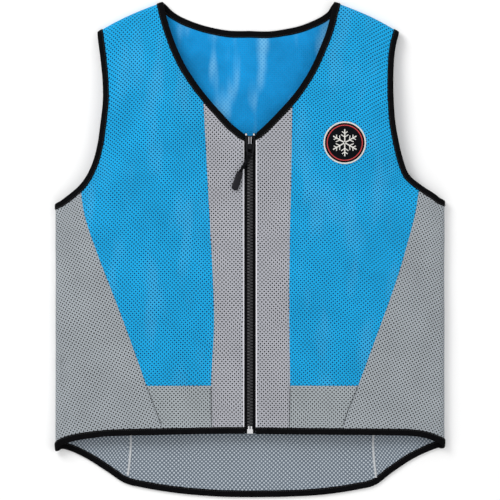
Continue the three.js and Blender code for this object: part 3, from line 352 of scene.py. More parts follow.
# Panels of one half: columns run from the zip outwards, rows run down
def halfOf(name):
    side = sides[name]
    k = column[name]
    fold = half - foldHeight / 2
    neck, armhole, hem, tail = neckEdge[name], armholeEdge[name], frontHem[name], tailHem[name]

    def sideX(row):
        return half - lerp(vest["sidePanelTop"], vest["sidePanelHem"], row[k])

    def backX(row):
        return half - lerp(vest["backSeamTop"], vest["backSeamHem"], row[1])

    def placketX(row):
        return vest["placketWidth"] * row[k]

    def seam(rows, x, top, bottom, upperSteps):
        line = np.array([[side * x(row), lerp(top[0, 1], bottom[0, 1], row[0])] for row in rows])
        return seamPoints(line, upperSteps)

    neckSeam = shareWhere(neck, wideX, placketX(placketSeamRows[0]))
    neckZip = shareWhere(neck, wideX, vest["zipOpening"] / 2)
    armholeSeam = shareWhere(armhole, wideX, sideX(sideSeamRows[0]), 0.5)
    armholeFold = shareWhere(armhole, wideX, fold, 0.5)
    armholeBack = shareWhere(armhole, wideX, backX(backSeamRows[0]), 0.5)
    hemZip = shareWhere(hem, wideX, vest["zipOpening"] / 2)
    hemSeam = shareWhere(hem, wideX, placketX(placketSeamRows[-1]))
    hemSide = shareWhere(hem, wideX, sideX(sideSeamRows[-1]))
    hemFold = shareWhere(hem, wideX, fold)
    tailFold = shareWhere(tail, wideX, fold)
    tailSeam = shareWhere(tail, wideX, backX(backSeamRows[-1]))

    upper = steps["armhole"] + steps["seam"] - steps["neck"]
    placketLine = seam(placketSeamRows, placketX, along(neck, neckSeam), along(hem, hemSeam), upper)
    sideLine = seam(sideSeamRows, sideX, along(armhole, armholeSeam), along(hem, hemSide), steps["seam"])
    backLine = seam(backSeamRows, backX, along(armhole, armholeBack), along(tail, tailSeam), steps["seam"])
    rows = len(sideLine) - 1
    chestLow = straight(placketLine[upper], sideLine[steps["seam"]], steps["shoulder"])
    shoulderLow, shoulderUnder = shoulderStart(name, "neckStart"), shoulderStart(name, "backNeckStart")
    placket = patch(
        stretch(neck, neckZip, neckSeam, steps["placket"]), stretch(hem, hemZip, hemSeam, steps["placket"]),
        straight(along(neck, neckZip)[0], along(hem, hemZip)[0], len(placketLine) - 1), placketLine)
    chest = patch(
        shoulderLow, chestLow,
        np.concatenate([stretch(neck, 0, neckSeam, steps["neck"]), placketLine[1:upper + 1]]),
        np.concatenate([stretch(armhole, 0, armholeSeam, steps["armhole"]), sideLine[1:steps["seam"] + 1]]))
    insert = patch(
        chestLow, stretch(hem, hemSeam, hemSide, steps["shoulder"]),
        placketLine[upper:], sideLine[steps["seam"]:])
    sideFront = patch(
        stretch(armhole, armholeSeam, armholeFold, steps["side"]),
        stretch(hem, hemSide, hemFold, steps["side"]),
        sideLine, straight(along(armhole, armholeFold)[0], along(hem, hemFold)[0], rows))
    sideUnder = patch(
        stretch(armhole, armholeFold, armholeBack, steps["under"]),
        stretch(tail, tailFold, tailSeam, steps["under"]),
        straight(along(armhole, armholeFold)[0], along(tail, tailFold)[0], rows), backLine)
    fromFold, toFold = raised(sideFront, frontHeight), raised(sideUnder, backHeight)
    dips = lerp(vest["underarmDip"], vest["hemDip"][name], np.linspace(0, 1, rows + 1))
    overFold = sideFold(side, fromFold[:, -1], toFold[:, 0], dips)
    return {
        "placket": raised(placket, frontHeight),
        "chest": np.concatenate([shoulderFold(name, shoulderLow, frontHeight), raised(chest, frontHeight)]),
        "insert": raised(insert, frontHeight),
        "side": np.concatenate([fromFold, overFold, toFold], axis=1),
        "backShoulder": np.concatenate([
            shoulderFold(name, shoulderUnder, backHeight), raised(shoulderUnder[None], backHeight)]),
        "backTop": shoulderUnder[::-1],
        "backNeck": stretch(backNeck[name], 0, 1, steps["backNeck"] // 2),
        "backEdge": np.concatenate([
            stretch(armhole, 0, armholeBack, steps["armhole"]), backLine[1:steps["seam"] + 1]]),
        "tailEdge": backLine[steps["seam"]:],
        "tailLow": stretch(tail, tailSeam, 0, steps["shoulder"] + steps["backNeck"] // 2),
    }


halves = {name: halfOf(name) for name in sides}
left, right = halves["left"], halves["right"]
backLow = straight(left["backEdge"][-1], right["backEdge"][-1], 2 * steps["shoulder"] + steps["backNeck"])
grids = {
    "back": raised(patch(
        np.concatenate([left["backTop"], left["backNeck"][1:], right["backNeck"][::-1][1:],
                        right["backTop"][::-1][1:]]),
        backLow, left["backEdge"], right["backEdge"]), backHeight),
    "tail": raised(patch(
        backLow, np.concatenate([left["tailLow"], right["tailLow"][::-1][1:]]),
        left["tailEdge"], right["tailEdge"]), backHeight),
}
for name in sides:
    for part in ("placket", "chest", "insert", "side", "backShoulder"):
        grids[part + name] = halves[name][part]
# The frame's faces that look down, or the other way round, are turned over
turned = {"back", "tail", "placketleft", "chestleft", "insertleft", "sideleft", "backShoulderright"}
print("garment drafted", sum(grid.shape[0] * grid.shape[1] for grid in grids.values()), "points")


# One sheet for the whole garment, so that panels meet at their seams
def gridFaces(index, flip):
    corners = [index[:-1, :-1], index[1:, :-1], index[1:, 1:], index[:-1, 1:]]
    faces = np.stack([corner.reshape(-1) for corner in corners], axis=1)
    return faces[:, ::-1] if flip else faces


def normalsOf(points, faces):
    a, b, c, d = (points[faces[:, k]] for k in range(4))
    across = np.cross(c - a, d - b)
    normals = np.zeros_like(points)
    for k in range(4):
        np.add.at(normals, faces[:, k], across)
    return normals / np.linalg.norm(normals, axis=1)[:, None]


stacked = np.concatenate([grid.reshape(-1, 3) for grid in grids.values()])
_, firstOf, sheetIndex = np.unique(np.round(stacked, 3), axis=0, return_index=True, return_inverse=True)
sheetIndex = sheetIndex.reshape(-1)
sheetPoints = stacked[firstOf]
indexOf = {}
offset = 0
for key, grid in grids.items():
    count = grid.shape[0] * grid.shape[1]
    indexOf[key] = sheetIndex[offset:offset + count].reshape(grid.shape[:2])
    offset += count
sheetFaces = np.concatenate([gridFaces(indexOf[key], key in turned) for key in grids])
sheetNormals = normalsOf(sheetPoints, sheetFaces)

# How the knit lies: slow waves, small rumples, the folds above, and calm beside tapes and at the zip
rumple = {
    "wave": 90, "waveRise": 1.3, "waveSeed": 3.1, "small": 26, "smallRise": 0.42, "smallSeed": 8.7,
    "calmEdge": 9, "calmRun": 26, "zipFrom": 15, "zipTo": 40, "zipShare": 0.25, "underShare": 0.35,
    "underCrease": 0.5, "seamPull": 0.5, "seamRun": 1.3, "seamRowsAt": (0.7, 1.6),
    "frontAbove": foldHeight - 1.5, "underBelow": 4,  # heights that tell the layers apart
}


def noiseAt(points, size, seed):
    return np.array([noise.noise(Vector((x / size + seed, y / size, z / size))) for x, y, z in points])


plan = sheetPoints[:, :2]
onFront = sheetPoints[:, 2] > rumple["frontAbove"]
edgeAway = np.where(onFront, awayFrom([neckEdge, armholeEdge, frontHem], plan),
                    awayFrom([armholeEdge, tailHem, backNeck], plan))
calm = smooth(edgeAway, rumple["calmEdge"], rumple["calmEdge"] + rumple["calmRun"])
zipCalm = lerp(rumple["zipShare"], 1.0, smooth(np.abs(plan[:, 0]), rumple["zipFrom"], rumple["zipTo"]))
waves = noiseAt(sheetPoints, rumple["wave"], rumple["waveSeed"]) * rumple["waveRise"]
small = noiseAt(sheetPoints, rumple["small"], rumple["smallSeed"]) * rumple["smallRise"]
creases = np.zeros(len(plan))
for fromX, fromY, toX, toY, width, rise in clothFolds:
    creases += rise * nearFold(plan, np.array([fromX, fromY]), np.array([toX, toY]), width)
liesUnder = (~onFront) & (sheetPoints[:, 2] < rumple["underBelow"])
move = calm * (waves + small) * np.where(onFront, zipCalm, rumple["underShare"]) + calm * creases * onFront
# The back rests on the floor, so its outer face only rises
move = np.where(liesUnder, -np.abs(move) - calm * rumple["underCrease"] * np.maximum(creases, 0), move)
sheetPoints = sheetPoints + sheetNormals * move[:, None]
sheetNormals = normalsOf(sheetPoints, sheetFaces)
print("cloth laid out")

seamLines = [part for name in sides for part in (
    halves[name]["placket"][:, -1], halves[name]["side"][:, 0], halves[name]["side"][:, -1],
    halves[name]["insert"][0])]
seamSpots = np.concatenate([*seamLines, grids["tail"][0]])
seamTree = kdtree.KDTree(len(seamSpots))
for i, spot in enumerate(seamSpots):
    seamTree.insert(spot, i)
seamTree.balance()


# A seam draws the cloth in: extra rows close to it carry the groove
def closerRows(points, axis, way):
    points = np.moveaxis(points, axis, 0)[::way]
    gap = np.linalg.norm(points[1, :, :3] - points[0, :, :3], axis=1).mean()
    extra = [lerp(points[0], points[1], at / gap) for at in rumple["seamRowsAt"] if at < gap * 0.8]
    points = np.concatenate([points[:1], np.array(extra), points[1:]])[::way]
    return np.moveaxis(points, 0, axis)


axisAndWay = {"top": (0, 1), "bottom": (0, -1), "first": (1, 1), "last": (1, -1)}


def panelGrid(key, seams):
    index = indexOf[key]
    points = np.concatenate([sheetPoints[index], sheetNormals[index]], axis=2)
    for edge in seams:
        points = closerRows(points, *axisAndWay[edge])
    return points


def unrolled(grid, key):
    across = np.linalg.norm(np.diff(grid[:, :, :3], axis=1), axis=2)
    down = np.linalg.norm(np.diff(grid[:, :, :3], axis=0), axis=2)
    u = np.concatenate([np.zeros((grid.shape[0], 1)), np.cumsum(across, axis=1)], axis=1)
    v = -np.concatenate([np.zeros((1, grid.shape[1])), np.cumsum(down, axis=0)], axis=0)
    if key.startswith("side"):
        side = -1 if key.endswith("left") else 1
        return np.stack([grid[:, :1, 0] + side * u, grid[:, :, 1]], axis=2)
    if key.startswith(("chest", "backShoulder")):
        return np.stack([grid[:, :, 0], v - v[-1:] + grid[-1:, :, 1]], axis=2)
    return grid[:, :, :2]


def meshObject(name, verts, faces, uvs, materialIndex=None):
    mesh = bpy.data.meshes.new(name)
    mesh.from_pydata([tuple(v) for v in np.asarray(verts) * mm], [], [list(map(int, f)) for f in faces])
    layer = mesh.uv_layers.new(name="cloth")
    loops = np.empty(len(mesh.loops), dtype=np.int32)
    mesh.loops.foreach_get("vertex_index", loops)
    layer.data.foreach_set("uv", (np.asarray(uvs)[loops] * mm).reshape(-1))
    if materialIndex is not None:
        mesh.polygons.foreach_set("material_index", np.asarray(materialIndex, dtype=np.int32))
    mesh.polygons.foreach_set("use_smooth", [True] * len(mesh.polygons))
    mesh.update()
    return placed(name, mesh)


# Faces turned outwards, and open ends closed first where asked
def facedOut(obj, closeEnds=False):
    bm = bmesh.new()
    bm.from_mesh(obj.data)
    if closeEnds:
        bmesh.ops.holes_fill(bm, edges=[e for e in bm.edges if e.is_boundary])
        bmesh.ops.triangulate(bm, faces=[f for f in bm.faces if len(f.verts) > 4])
    bmesh.ops.recalc_face_normals(bm, faces=bm.faces)
    bm.to_mesh(obj.data)
    bm.free()
    return obj


def smoothObject(name, bm):
    mesh = bpy.data.meshes.new(name)
    bm.to_mesh(mesh)
    bm.free()
    mesh.polygons.foreach_set("use_smooth", [True] * len(mesh.polygons))
    return placed(name, mesh)


# A cut piece of knit: outer face, inner face and the cut edge between them
def clothPiece(name, parts):
    verts, faces, uvs, seen = [], [], [], {}
    for key, seams in parts:
        grid = panelGrid(key, seams)
        uv = unrolled(grid, key)
        flatGrid, flatUv = grid.reshape(-1, 6), uv.reshape(-1, 2)
        local = np.empty(len(flatGrid), dtype=int)
        for i, spot in enumerate(np.round(flatGrid[:, :3], 3)):
            mark = tuple(spot)
            if mark not in seen:
                seen[mark] = len(verts)
                verts.append(flatGrid[i])
                uvs.append(flatUv[i])
            local[i] = seen[mark]
        faces.append(gridFaces(local.reshape(grid.shape[:2]), key in turned))
    verts, uvs, faces = np.array(verts), np.array(uvs), np.concatenate(faces)
    points, normals = verts[:, :3], verts[:, 3:]
    normals = normals / np.linalg.norm(normals, axis=1)[:, None]
    groove = np.array([seamTree.find(p)[2] for p in points])
    points = points - normals * (rumple["seamPull"] * np.exp(-(groove / rumple["seamRun"]) ** 2))[:, None]
    inner = points - normals * vest["wall"]
    points[:, 2] = np.maximum(points[:, 2], vest["floorGap"])
    inner[:, 2] = np.maximum(inner[:, 2], vest["wall"] * 0.9)
    count = len(points)
    edges = {}
    for face in faces:
        for i in range(4):
            edges[(face[i], face[(i + 1) % 4])] = True
    rim = [(b, a, a + count, b + count) for a, b in edges if (b, a) not in edges]
    allFaces = [*faces.tolist(), *(faces[:, ::-1] + count).tolist(), *rim]
    material = [0] * len(faces) + [1] * len(faces) + [0] * len(rim)
    obj = meshObject(name, np.concatenate([points, inner]), allFaces, np.concatenate([uvs, uvs]), material)
    a, b, c, d = (points[faces[:, k]] for k in range(4))
    obj["clothArea"] = float(np.linalg.norm(np.cross(c - a, d - b), axis=1).sum() / 2) * mm ** 2
    obj["clothSize"] = [float(uvs[:, k].max() - uvs[:, k].min()) * mm for k in (0, 1)]
    return obj


panels = {}
for name in sides:
    for label, part, seams in (
            ("frontChest", "chest", ("bottom", "first", "last")), ("frontPlacket", "placket", ("last",)),
            ("hemInsert", "insert", ("top", "first", "last")), ("sidePanel", "side", ("first", "last"))):
        panels[label + name] = clothPiece(label + "_" + name, [(part + name, seams)])
panels["back"] = clothPiece(
    "backPanel", [("back", ("bottom", "first", "last")), ("backShoulderleft", ()), ("backShoulderright", ())])
panels["tail"] = clothPiece("backTail", [("tail", ("top", "first", "last"))])
print("panels cut", sum(len(panel.data.polygons) for panel in panels.values()), "faces")


# Materials
waveBands = 3.2  # bands that a wave texture draws in one unit at scale 1, close to 20 / (2 * pi)


def linear(hexColour):
    channels = [int(hexColour[i:i + 2], 16) / 255 for i in (1, 3, 5)]
    return (*(c / 12.92 if c <= 0.04045 else ((c + 0.055) / 1.055) ** 2.4 for c in channels), 1.0)


def addNode(tree, kind, inputs=None, out=0, **settings):
    node = tree.nodes.new(kind)
    for key, value in settings.items():
        setattr(node, key, value)
    for key, value in (inputs or {}).items():
        if isinstance(value, bpy.types.NodeSocket):
            tree.links.new(value, node.inputs[key])
        else:
            node.inputs[key].default_value = value
    return node if out is None else node.outputs[out]


def newMaterial(name, roughness, metallic=0.0, sheen=0.0, ior=1.5):
    material = bpy.data.materials.new(name)
    material.use_nodes = True
    values = {"Roughness": roughness, "Metallic": metallic, "IOR": ior, "Sheen Weight": sheen,
              "Sheen Roughness": 0.5}
    for key, value in values.items():
        material.node_tree.nodes["Principled BSDF"].inputs[key].default_value = value
    return material, material.node_tree


def wired(material, sockets):
    tree = material.node_tree
    for key, socket in sockets.items():
        tree.links.new(socket, tree.nodes["Principled BSDF"].inputs[key])
    return material


# Where a point lies on the cloth, in millimetres, turned to the way that the piece was cut
def clothPlace(tree, turn):
    uv = addNode(tree, "ShaderNodeUVMap", uv_map="cloth")
    return addNode(tree, "ShaderNodeMapping", {
        "Vector": uv, "Scale": (1 / mm, 1 / mm, 1 / mm), "Rotation": (0, 0, math.radians(turn))})


# Polyester eyelet knit: staggered pinholes, each in a small raised ring, on a fine matt knit, with painted
# shade in dark holes and a painted highlight on light rings
eyelet = {
    "pitch": 5.75, "hole": 1.22, "holeRim": (0.8, 1.3), "holeShade": 0.95,
    "ring": 1.65, "ringRim": (0.8, 1.45), "ringShade": 0.85, "ringRise": 0.45,
    "knit": 1.1, "knitBend": 1.2, "knitShade": (0.84, 1.08), "knitRise": 0.22,
    "drift": 3.5, "driftRun": 38, "patchRun": 60,  # how far the holes wander, and over what length
    # painted sheen streaks: their size, slant, where they fade in and out, and their light colour
    "sheenStreak": (34, 120), "sheenStreakTurn": 0.3, "sheenStreakFrom": 0.48, "sheenStreakTo": 0.78, "sheenStreakColour": "#8fd4f6",
    # where the painted highlight along the zip's turned edge lies, and how softly it fades either side
    "foldHighlight": 9.9, "foldHighlightRun": (0.5, 0.4),
}


def eyeletKnit(name, base, hole, ring, contrast=1.0, turn=0.0, patchy=0.06, sheenStreaks=0.0, foldHighlight=None):
    material, tree = newMaterial(name, 0.88, ior=1.2)
    inMm = clothPlace(tree, turn)
    drift, pitch = eyelet["drift"], eyelet["pitch"]
    spot = addNode(tree, "ShaderNodeTexNoise", {
        "Vector": inMm, "Scale": 1 / eyelet["driftRun"], "Detail": 2.0}, out=1, noise_dimensions="2D")
    for operation, other in (("SUBTRACT", (0.5, 0.5, 0.5)), ("MULTIPLY", (drift, drift, 0)), ("ADD", inMm),
                             ("MULTIPLY", (1 / pitch, 1 / pitch, 0))):
        spot = addNode(tree, "ShaderNodeVectorMath", {0: spot, 1: other}, operation=operation)
    aways = []
    for shift in (0.0, 0.5):  # every second row of holes is set half a pitch aside
        cell = spot
        for operation, other in (("ADD", (shift, shift, 0)), ("FRACTION", (0, 0, 0)),
                                 ("SUBTRACT", (0.5, 0.5, 0)), ("MULTIPLY", (pitch, pitch, 0))):
            cell = addNode(tree, "ShaderNodeVectorMath", {0: cell, 1: other}, operation=operation)
        aways.append(addNode(tree, "ShaderNodeVectorMath", {0: cell}, out=1, operation="LENGTH"))
    away = addNode(tree, "ShaderNodeMath", {0: aways[0], 1: aways[1]}, operation="MINIMUM")
    holeMask, ringMask = (addNode(tree, "ShaderNodeMapRange", {
        "Value": away, "From Min": eyelet[mark] * eyelet[mark + "Rim"][0],
        "From Max": eyelet[mark] * eyelet[mark + "Rim"][1], "To Min": 1.0, "To Max": 0.0},
        interpolation_type="SMOOTHSTEP") for mark in ("hole", "ring"))
    # loops of the knit, about a millimetre apart: ribs one way, courses the other
    ribs, courses = (addNode(tree, "ShaderNodeTexWave", {
        "Vector": inMm, "Scale": 1 / eyelet["knit"] / waveBands, "Distortion": eyelet["knitBend"],
        "Detail": 1.0, "Detail Scale": 1.0}, wave_type="BANDS", bands_direction=way) for way in "XY")
    knit = addNode(tree, "ShaderNodeMath", {0: ribs, 1: courses}, operation="MULTIPLY")
    blotch = addNode(tree, "ShaderNodeTexNoise", {
        "Vector": inMm, "Scale": 1 / eyelet["patchRun"], "Detail": 4.0, "Roughness": 0.6},
        noise_dimensions="2D")
    blotch = addNode(tree, "ShaderNodeMapRange", {
        "Value": blotch, "From Min": 0.3, "From Max": 0.7, "To Min": 1 - patchy, "To Max": 1 + patchy})
    dark, bright = eyelet["knitShade"]
    shade = addNode(tree, "ShaderNodeMapRange", {"Value": knit, "To Min": dark, "To Max": bright})
    shade = addNode(tree, "ShaderNodeMath", {0: shade, 1: blotch}, operation="MULTIPLY")
    # where the ring colour is lighter than the cloth, it is a painted highlight on the rings' raised tops
    share = addNode(tree, "ShaderNodeMath", {0: ringMask, 1: eyelet["ringShade"] * contrast},
                    operation="MULTIPLY")
    colour = addNode(tree, "ShaderNodeMix", {
        "Factor": share, 6: linear(base), 7: linear(ring)}, out=2, data_type="RGBA")
    colour = addNode(tree, "ShaderNodeVectorMath", {0: colour, "Scale": shade}, operation="SCALE")
    layers = []
    if sheenStreaks:  # painted sheen: long soft streaks of a lighter colour where light would catch the folds
        wide, long = eyelet["sheenStreak"]
        drawn = addNode(tree, "ShaderNodeMapping", {
            "Vector": inMm, "Scale": (1 / wide, 1 / long, 1), "Rotation": (0, 0, eyelet["sheenStreakTurn"])})
        sheenStreak = addNode(tree, "ShaderNodeTexNoise", {"Vector": drawn, "Scale": 1.0, "Detail": 2.0},
                         noise_dimensions="2D")
        layers.append((addNode(tree, "ShaderNodeMapRange", {
            "Value": sheenStreak, "From Min": eyelet["sheenStreakFrom"], "From Max": eyelet["sheenStreakTo"],
            "To Min": 0.0, "To Max": sheenStreaks}, interpolation_type="SMOOTHSTEP"), eyelet["sheenStreakColour"]))
    # where the hole colour is darker than the cloth, it is painted shade seen through the holes
    layers.append((addNode(tree, "ShaderNodeMath", {0: holeMask, 1: eyelet["holeShade"] * contrast},
                           operation="MULTIPLY"), hole))
    if foldHighlight:  # painted highlight: a light band along the turned edge beside the zip, where the fold catches the light, painted over the holes there
        across = addNode(tree, "ShaderNodeSeparateXYZ", {0: inMm})
        across = addNode(tree, "ShaderNodeMath", {0: across}, operation="ABSOLUTE")
        within, beyond = eyelet["foldHighlightRun"]
        layers.append((addNode(tree, "ShaderNodeMapRange", {
            "Value": across, "From Min": eyelet["foldHighlight"] - within, "From Max": eyelet["foldHighlight"] + beyond,
            "To Min": 1.0, "To Max": 0.0}, interpolation_type="SMOOTHSTEP"), foldHighlight))
    for share, above in layers:
        colour = addNode(tree, "ShaderNodeMix", {
            "Factor": share, 6: colour, 7: linear(above)}, out=2, data_type="RGBA")
    rise = addNode(tree, "ShaderNodeMath", {0: ringMask, 1: eyelet["ringRise"]}, operation="MULTIPLY")
    rise = addNode(tree, "ShaderNodeMath", {0: rise, 1: holeMask}, operation="SUBTRACT")
    fineRise = addNode(tree, "ShaderNodeMath", {0: knit, 1: eyelet["knitRise"]}, operation="MULTIPLY")
    rise = addNode(tree, "ShaderNodeMath", {0: rise, 1: fineRise}, operation="ADD")
    bump = addNode(tree, "ShaderNodeBump", {"Strength": 0.55, "Distance": 0.5 * mm, "Height": rise})
    return wired(material, {"Base Color": colour, "Normal": bump})


# Each knit: its own colour, then its hole colour, painted shade seen through the holes, then its ring colour,
# a painted highlight on the raised rings
blueKnit = eyeletKnit("Polyester eyelet knit, dyed blue", "#0091db", "#002a66", "#34d2ff",
                      turn=3, patchy=0.08, sheenStreaks=0.09)
# the wrong side of the back, seen at the neck, carries strong painted sheen streaks
blueInside = eyeletKnit("Polyester eyelet knit, wrong side, blue", "#008bd0", "#0468b4", "#35aeec",
                        contrast=0.5, patchy=0.16, sheenStreaks=0.5)
greyKnit = eyeletKnit("Polyester eyelet knit, dyed grey", "#929ba0", "#020203", "#cfd5d9")
# the grey placket, with a painted highlight along its turned edge beside the zip
placketKnit = eyeletKnit("Polyester eyelet knit, grey, edge turned under", "#9a9ca5", "#020203", "#d8d9e0",
                         foldHighlight="#dadae0")
sideKnit = {name: eyeletKnit("Polyester eyelet knit, grey, cut aslant, " + name, "#90989e", "#020203",
                             "#ced4d9", turn=15 * side) for name, side in sides.items()}
# The wrong side of the grey knit: holes lighter and rings slightly darker than the cloth
greyInside = eyeletKnit("Polyester eyelet knit, wrong side, grey", "#6b7681", "#bcc4cc", "#646f7a")


# Woven tape: fine ribs across a cotton-look polyester, near black
def wovenTape(name, base, light, rib=0.8, slant=0.0):
    material, tree = newMaterial(name, 0.85, ior=1.12)
    inMm = clothPlace(tree, slant)
    ribs, threads = (addNode(tree, "ShaderNodeTexWave", {
        "Vector": inMm, "Scale": 1 / size / waveBands, "Distortion": bend, "Detail": 1.0,
        "Detail Scale": 2.0}, wave_type="BANDS", bands_direction=way)
        for way, size, bend in (("X", rib, 0.4), ("Y", rib * 0.6, 0.6)))
    weave = addNode(tree, "ShaderNodeMath", {0: ribs, 1: threads}, operation="MULTIPLY")
    dust = addNode(tree, "ShaderNodeTexNoise", {"Vector": inMm, "Scale": 1 / 9, "Detail": 5.0},
                   noise_dimensions="2D")
    part = addNode(tree, "ShaderNodeMath", {0: weave, 1: dust}, operation="MULTIPLY")
    colour = addNode(tree, "ShaderNodeMix", {
        "Factor": part, 6: linear(base), 7: linear(light)}, out=2, data_type="RGBA")
    bump = addNode(tree, "ShaderNodeBump", {"Strength": 0.5, "Distance": 0.2 * mm, "Height": weave})
    return wired(material, {"Base Color": colour, "Normal": bump})


bindingTape = wovenTape("Woven polyester binding tape, black", "#050506", "#1c1c1f")
zipTapeCloth = wovenTape("Woven zip tape, black twill", "#060607", "#202024", rib=1.0, slant=35)
cordBraid = wovenTape("Braided polyester cord, black", "#0a0a0c", "#34343a", rib=0.7, slant=40)
patchTwill = wovenTape("Twill patch ground, black", "#08090c", "#20222a", rib=0.9, slant=45)


# Thread: soft, slightly glossy, with a twist too fine to show but for its bump
def threadMaterial(name, base, light):
    material, tree = newMaterial(name, 0.55, sheen=0.1)
    spot = addNode(tree, "ShaderNodeTexCoord", out="Object")
    fibre = addNode(tree, "ShaderNodeTexNoise", {"Vector": spot, "Scale": 900.0, "Detail": 2.0})
    colour = addNode(tree, "ShaderNodeMix", {
        "Factor": fibre, 6: linear(base), 7: linear(light)}, out=2, data_type="RGBA")
    bump = addNode(tree, "ShaderNodeBump", {"Strength": 0.4, "Distance": 0.1 * mm, "Height": fibre})
    return wired(material, {"Base Color": colour, "Normal": bump})


blackThread = threadMaterial("Polyester sewing thread, black", "#060607", "#1e1e22")
greyThread = threadMaterial("Polyester sewing thread, grey", "#8f989e", "#c3c9cd")
overlockThread = threadMaterial("Polyester overlock thread, pale grey", "#c9cdd1", "#f0f1f2")
whiteThread = threadMaterial("Embroidery thread, off-white", "#d9d8d2", "#f4f3ee")
redThread = threadMaterial("Embroidery thread, red", "#b3262b", "#d8484a")
# dark thread for the hem insert seams, also standing in as painted seam shade
seamShadeThread = threadMaterial("Embroidery thread, charcoal, with painted seam shade", "#15171c", "#2e3138")


# Moulded plastic: satin, with faint flow marks
def mouldedPlastic(name, base, light, roughness, ior):
    material, tree = newMaterial(name, roughness, ior=ior)
    spot = addNode(tree, "ShaderNodeTexCoord", out="Object")
    flow = addNode(tree, "ShaderNodeTexNoise", {"Vector": spot, "Scale": 260.0, "Detail": 3.0})
    grain = addNode(tree, "ShaderNodeTexNoise", {"Vector": spot, "Scale": 2400.0, "Detail": 2.0})
    colour = addNode(tree, "ShaderNodeMix", {
        "Factor": flow, 6: linear(base), 7: linear(light)}, out=2, data_type="RGBA")
    rough = addNode(tree, "ShaderNodeMapRange", {
        "Value": flow, "To Min": roughness - 0.1, "To Max": roughness + 0.12})
    bump = addNode(tree, "ShaderNodeBump", {"Strength": 0.25, "Distance": 0.1 * mm, "Height": grain})
    return wired(material, {"Base Color": colour, "Roughness": rough, "Normal": bump})


toothPlastic = mouldedPlastic("Moulded acetal zip teeth, black", "#0c0c0e", "#2c2c30", 0.4, 1.48)
gripRubber = mouldedPlastic("Moulded TPU pull grip, charcoal", "#121116", "#1c1b21", 0.6, 1.25)

# Painted highlights: a near-white colour on the two long edges of the slider's crown, within this box, where
# light glints off them
highlighted = {"across": 1.6, "width": 0.9, "middle": 157.3, "length": 10, "above": 17.0, "bare": "#d4d4d8"}


# Metal: plated or painted zinc, with light wear on the edges from its own noise, and where asked painted
# highlights on the slider crown's long edges
def castMetal(name, base, worn, roughness, metallic=1.0, rubs=False):
    material, tree = newMaterial(name, roughness, metallic=metallic)
    spot = addNode(tree, "ShaderNodeTexCoord", out="Object")
    wear = addNode(tree, "ShaderNodeTexNoise", {
        "Vector": spot, "Scale": 420.0, "Detail": 5.0, "Roughness": 0.65})
    scuff = addNode(tree, "ShaderNodeMapRange", {"Value": wear, "From Min": 0.52, "From Max": 0.74},
                    interpolation_type="SMOOTHSTEP")
    colour = addNode(tree, "ShaderNodeMix", {
        "Factor": scuff, 6: linear(base), 7: linear(worn)}, out=2, data_type="RGBA")
    # painted highlight: above the plate, the crown's long edges take a near-white colour for the light that
    # glints off them
    if rubs:
        place = addNode(tree, "ShaderNodeSeparateXYZ", {0: spot}, out=None).outputs
        across = addNode(tree, "ShaderNodeMath", {0: place[0]}, operation="ABSOLUTE")
        bare = addNode(tree, "ShaderNodeMath", {0: place[2], 1: highlighted["above"] * mm},
                       operation="GREATER_THAN")
        for value, middle, reach in ((across, "across", "width"), (place[1], "middle", "length")):
            near = addNode(tree, "ShaderNodeMath", {
                0: value, 1: highlighted[middle] * mm, 2: highlighted[reach] * mm / 2}, operation="COMPARE")
            bare = addNode(tree, "ShaderNodeMath", {0: bare, 1: near}, operation="MULTIPLY")
        colour = addNode(tree, "ShaderNodeMix", {
            "Factor": bare, 6: colour, 7: linear(highlighted["bare"])}, out=2, data_type="RGBA")
    rough = addNode(tree, "ShaderNodeMapRange", {
        "Value": wear, "To Min": roughness - 0.08, "To Max": roughness + 0.15})
    bump = addNode(tree, "ShaderNodeBump", {"Strength": 0.15, "Distance": 0.1 * mm, "Height": wear})
    return wired(material, {"Base Color": colour, "Roughness": rough, "Normal": bump})


platedZinc = castMetal("Die-cast zinc, nickel plated", "#ececee", "#fafafa", 0.25)
darkZinc = castMetal("Die-cast zinc, gunmetal lacquer", "#19191c", "#3a3a40", 0.28, metallic=0.85)
# the slider: gunmetal lacquer with painted highlights on its crown's edges
sliderZinc = castMetal("Die-cast zinc, gunmetal lacquer, rubbed", "#19191c", "#3a3a40", 0.28, 0.85, rubs=True)


def finished(obj, slot, replaced, *materials):
    for material in materials:
        obj.data.materials.append(material)
    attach(obj, "root")
    if replaced:
        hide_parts(*replaced)


for name in sides:
    for label, slotName, node, outside, inside in (
            ("frontChest", "blue_mesh", "front_chest_", blueKnit, blueInside),
            ("frontPlacket", "grey_mesh", "front_placket_", placketKnit, greyInside),
            ("hemInsert", "grey_mesh", "front_hem_insert_", greyKnit, greyInside),
            ("sidePanel", "grey_mesh", "side_panel_", sideKnit[name], greyInside)):
        finished(panels[label + name], slotName, [node + name], outside, inside)
finished(panels["back"], "blue_mesh", ["back_panel"], blueKnit, blueInside)
finished(panels["tail"], "grey_mesh", ["back_tail_panel"], greyKnit, greyInside)
for panel in panels.values():
    width, length = panel["clothSize"]
print("panels finished")


# Stitches: how long and wide a thread lies, how far it sinks in, and where the rows run beside the seams
stitch = {"length": 2.5, "width": 0.62, "sunk": 0.12, "above": 0.12, "besideZip": 5.6, "besideSeam": 2.2}
# Bindings: a tape folded over the edge, a little full along its fold and drawn in along its stitches
tape = {
    "wall": 0.85, "room": 0.12, "into": 7.9, "armholeInto": 7.1, "step": 2.4, "stitchIn": 1.7, "pucker": 0.13,
    "stitchPitch": 3.1, "crown": 0.22, "dip": 0.3, "dipRun": 0.55, "ending": 0.35, "endingRun": 0.35,
    "nose": 0.12, "wobble": 0.35, "wobbleRun": 14, "wobbleSeed": 5.3, "aroundFold": 4.5,
}


